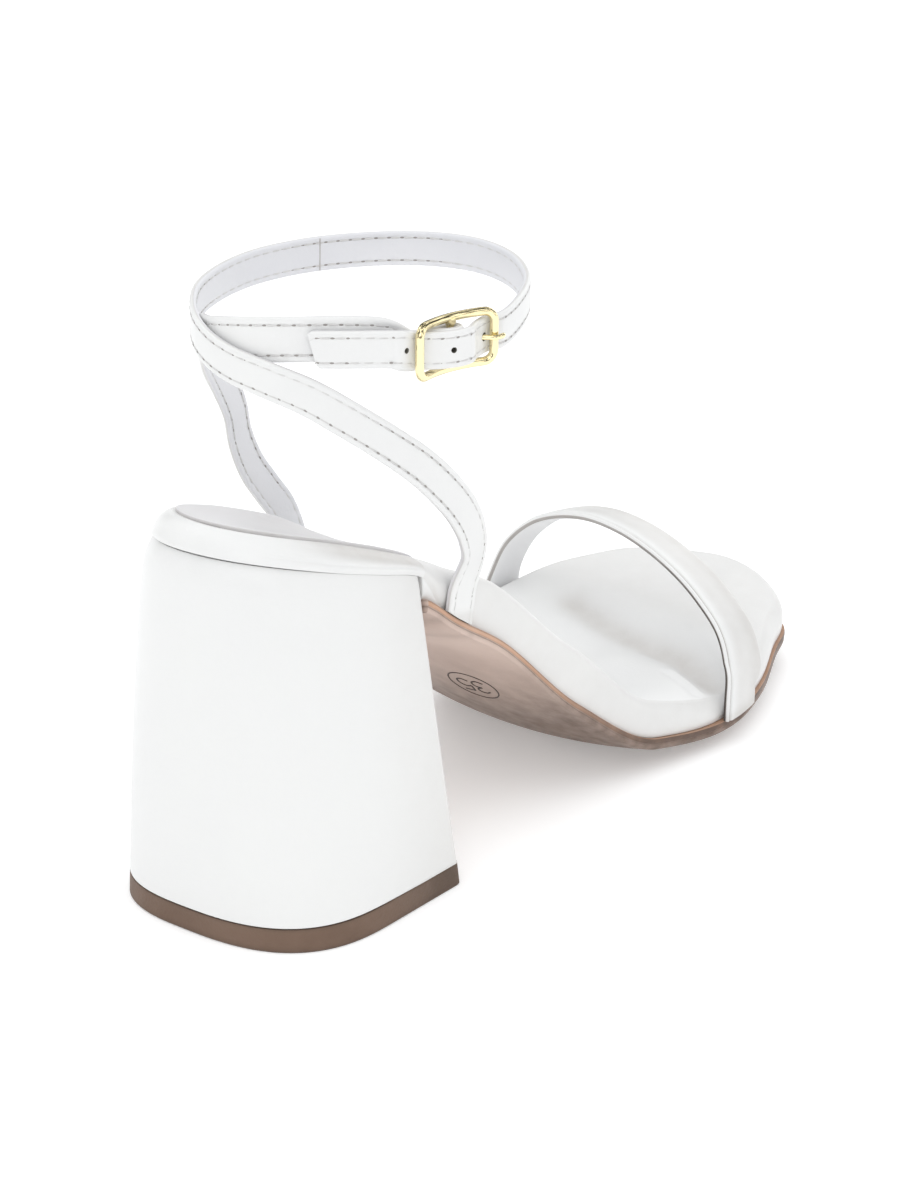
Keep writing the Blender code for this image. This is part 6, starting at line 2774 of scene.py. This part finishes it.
@dataclass
class PhotoCamera:
    """The camera at the photograph's angle to the shoe."""

    azimuth: float = -52.65
    elevation: float = 21.77
    roll: float = 0.49
    distance: float = 0.67018
    target: Triple = (0.08852, -0.00015, 0.04476)
    focal_pixels: float = 3003.7
    picture_height: float = 1200.0
    sensor: float = 36.0
    clip: Pair = (0.01, 50.0)

    def build(self) -> None:
        """Makes the camera and gives it to the scene."""
        a, e, roll = (math.radians(v) for v in (self.azimuth, self.elevation, self.roll))
        back = np.array([math.sin(a) * math.cos(e), -math.cos(a) * math.cos(e), math.sin(e)])
        right = np.array([math.cos(a), math.sin(a), 0.0])
        up = np.cross(back, right)
        right, up = (
            math.cos(roll) * right + math.sin(roll) * up,
            -math.sin(roll) * right + math.cos(roll) * up,
        )
        place = np.array(self.target) + ORIGIN + back * self.distance
        matrix = np.eye(4)
        matrix[:3, 0], matrix[:3, 1], matrix[:3, 2], matrix[:3, 3] = right, up, back, place
        data = bpy.data.cameras.new("photo_camera")
        data.sensor_width = self.sensor
        data.lens = self.focal_pixels / self.picture_height * self.sensor
        data.clip_start, data.clip_end = self.clip
        camera = bpy.data.objects.new("photo_camera", data)
        camera.matrix_world = Matrix(matrix.tolist())
        bpy.context.scene.collection.objects.link(camera)
        bpy.context.scene.camera = camera


class Lamp(NamedTuple):
    """A soft box: where it hangs, how large it is and how strong."""

    name: str
    place: Triple
    size: float
    power: float


@dataclass
class Studio:
    """The pale floor, the soft lights and the surroundings."""

    reach: float = 6.0
    sky: float = 1.0
    horizon: Colour = (0.40, 0.405, 0.41)
    zenith: Colour = (1.54, 1.555, 1.57)
    mirror: float = 1.5
    flag: Colour = (0.02, 0.02, 0.015)
    band_stretch: Triple = (2.1, 1.3, 2.6)
    band_scale: float = 1.7
    band_span: Pair = (0.44, 0.58)
    aim: Triple = (0.0, 0.0, 0.04)
    lamps: tuple[Lamp, ...] = (
        Lamp("front_box", (-1.40, -0.95, 1.05), 1.0, 2.6),
        Lamp("side_box", (0.55, -1.60, 1.05), 1.0, 0.4),
    )

    def build(self) -> None:
        """Lays the floor, hangs the lights and lights the surroundings."""
        size = self.reach
        mesh = bpy.data.meshes.new("studio_floor")
        corners = [(-size, -size, 0), (size, -size, 0), (size, size, 0), (-size, size, 0)]
        mesh.from_pydata(corners, [], [(0, 1, 2, 3)])
        mesh.materials.append(FLOOR_PAPER.material())
        floor = bpy.data.objects.new("studio_floor", mesh)
        bpy.context.scene.collection.objects.link(floor)
        for lamp in self.lamps:
            data = bpy.data.lights.new(lamp.name, "AREA")
            data.shape, data.size, data.energy = "DISK", lamp.size, lamp.power
            light = bpy.data.objects.new(lamp.name, data)
            light.location = lamp.place
            aim = Vector(self.aim) - Vector(lamp.place)
            light.rotation_mode = "QUATERNION"
            light.rotation_quaternion = aim.to_track_quat("-Z", "Y")
            bpy.context.scene.collection.objects.link(light)
        world = bpy.data.worlds.new("studio_sky")
        world.use_nodes = True
        sky = world.node_tree.nodes["Background"]
        sky.inputs["Strength"].default_value = self.sky
        self._surround(Nodes(world.node_tree), sky)
        bpy.context.scene.world = world
        bpy.context.scene.view_settings.view_transform = "Standard"

    def _surround(self, nodes: Nodes, sky: Node) -> None:
        """Dims the sky to its horizon, with flags that only gloss mirrors and a white backdrop.

        Args:
            nodes: The nodes of the surroundings.
            sky: The background that lights everything else.
        """
        way = nodes.add("TexCoord").outputs["Generated"]
        height = nodes.ramp(nodes.add("SeparateXYZ", {"Vector": way}).outputs["Z"], 0.0, 1.0)
        overhead = nodes.mix(height, opaque(self.horizon), opaque(self.zenith))
        nodes.tree.links.new(overhead, sky.inputs["Color"])
        turned = nodes.add("Mapping", {"Vector": way, "Scale": self.band_stretch})
        values = {"Vector": turned.outputs[0], "Scale": self.band_scale, "Detail": 1.0}
        bands = nodes.add("TexNoise", values)
        share = nodes.ramp(bands.outputs["Fac"], *self.band_span)
        tone = nodes.mix(share, opaque(self.flag), opaque(WHITE))
        boxes = nodes.add("Background", {"Color": tone, "Strength": self.mirror})
        rays = nodes.add("LightPath").outputs
        mixed = nodes.add(
            "MixShader", {0: rays["Is Glossy Ray"], 1: sky.outputs[0], 2: boxes.outputs[0]}
        )
        backdrop = nodes.add("Background", {"Color": opaque(WHITE), "Strength": 1.0})
        seen = nodes.add(
            "MixShader", {0: rays["Is Camera Ray"], 1: mixed.outputs[0], 2: backdrop.outputs[0]}
        )
        end = nodes.tree.nodes["World Output"]
        nodes.tree.links.new(seen.outputs[0], end.inputs["Surface"])


def main() -> None:
    """Builds the sandal from the floor up, then the studio and the camera."""
    logging.basicConfig(level=logging.INFO, format="%(name)s: %(message)s")
    last = Last()
    shape = HeelShape(last)
    anchors = Anchors(last)
    loop = AnkleLoop()
    sizes = BuckleSizes()
    assemblies = (
        TopPiece(last, shape),
        HeelBlock(last, shape),
        Outsole(last, shape),
        Footbed(last, shape),
        InsoleSock(last),
        ToeStrap(last, anchors),
        AnkleStraps(last, anchors, loop, sizes, Stitching()),
        Buckle(last, loop, sizes),
    )
    for assembly in assemblies:
        assembly.build()
        names = ", ".join(piece.name for piece in assembly.pieces)
        LOG.info("%s: %s", type(assembly).__name__, names)
    Studio().build()
    PhotoCamera().build()


if __name__ == "__main__":
    main()
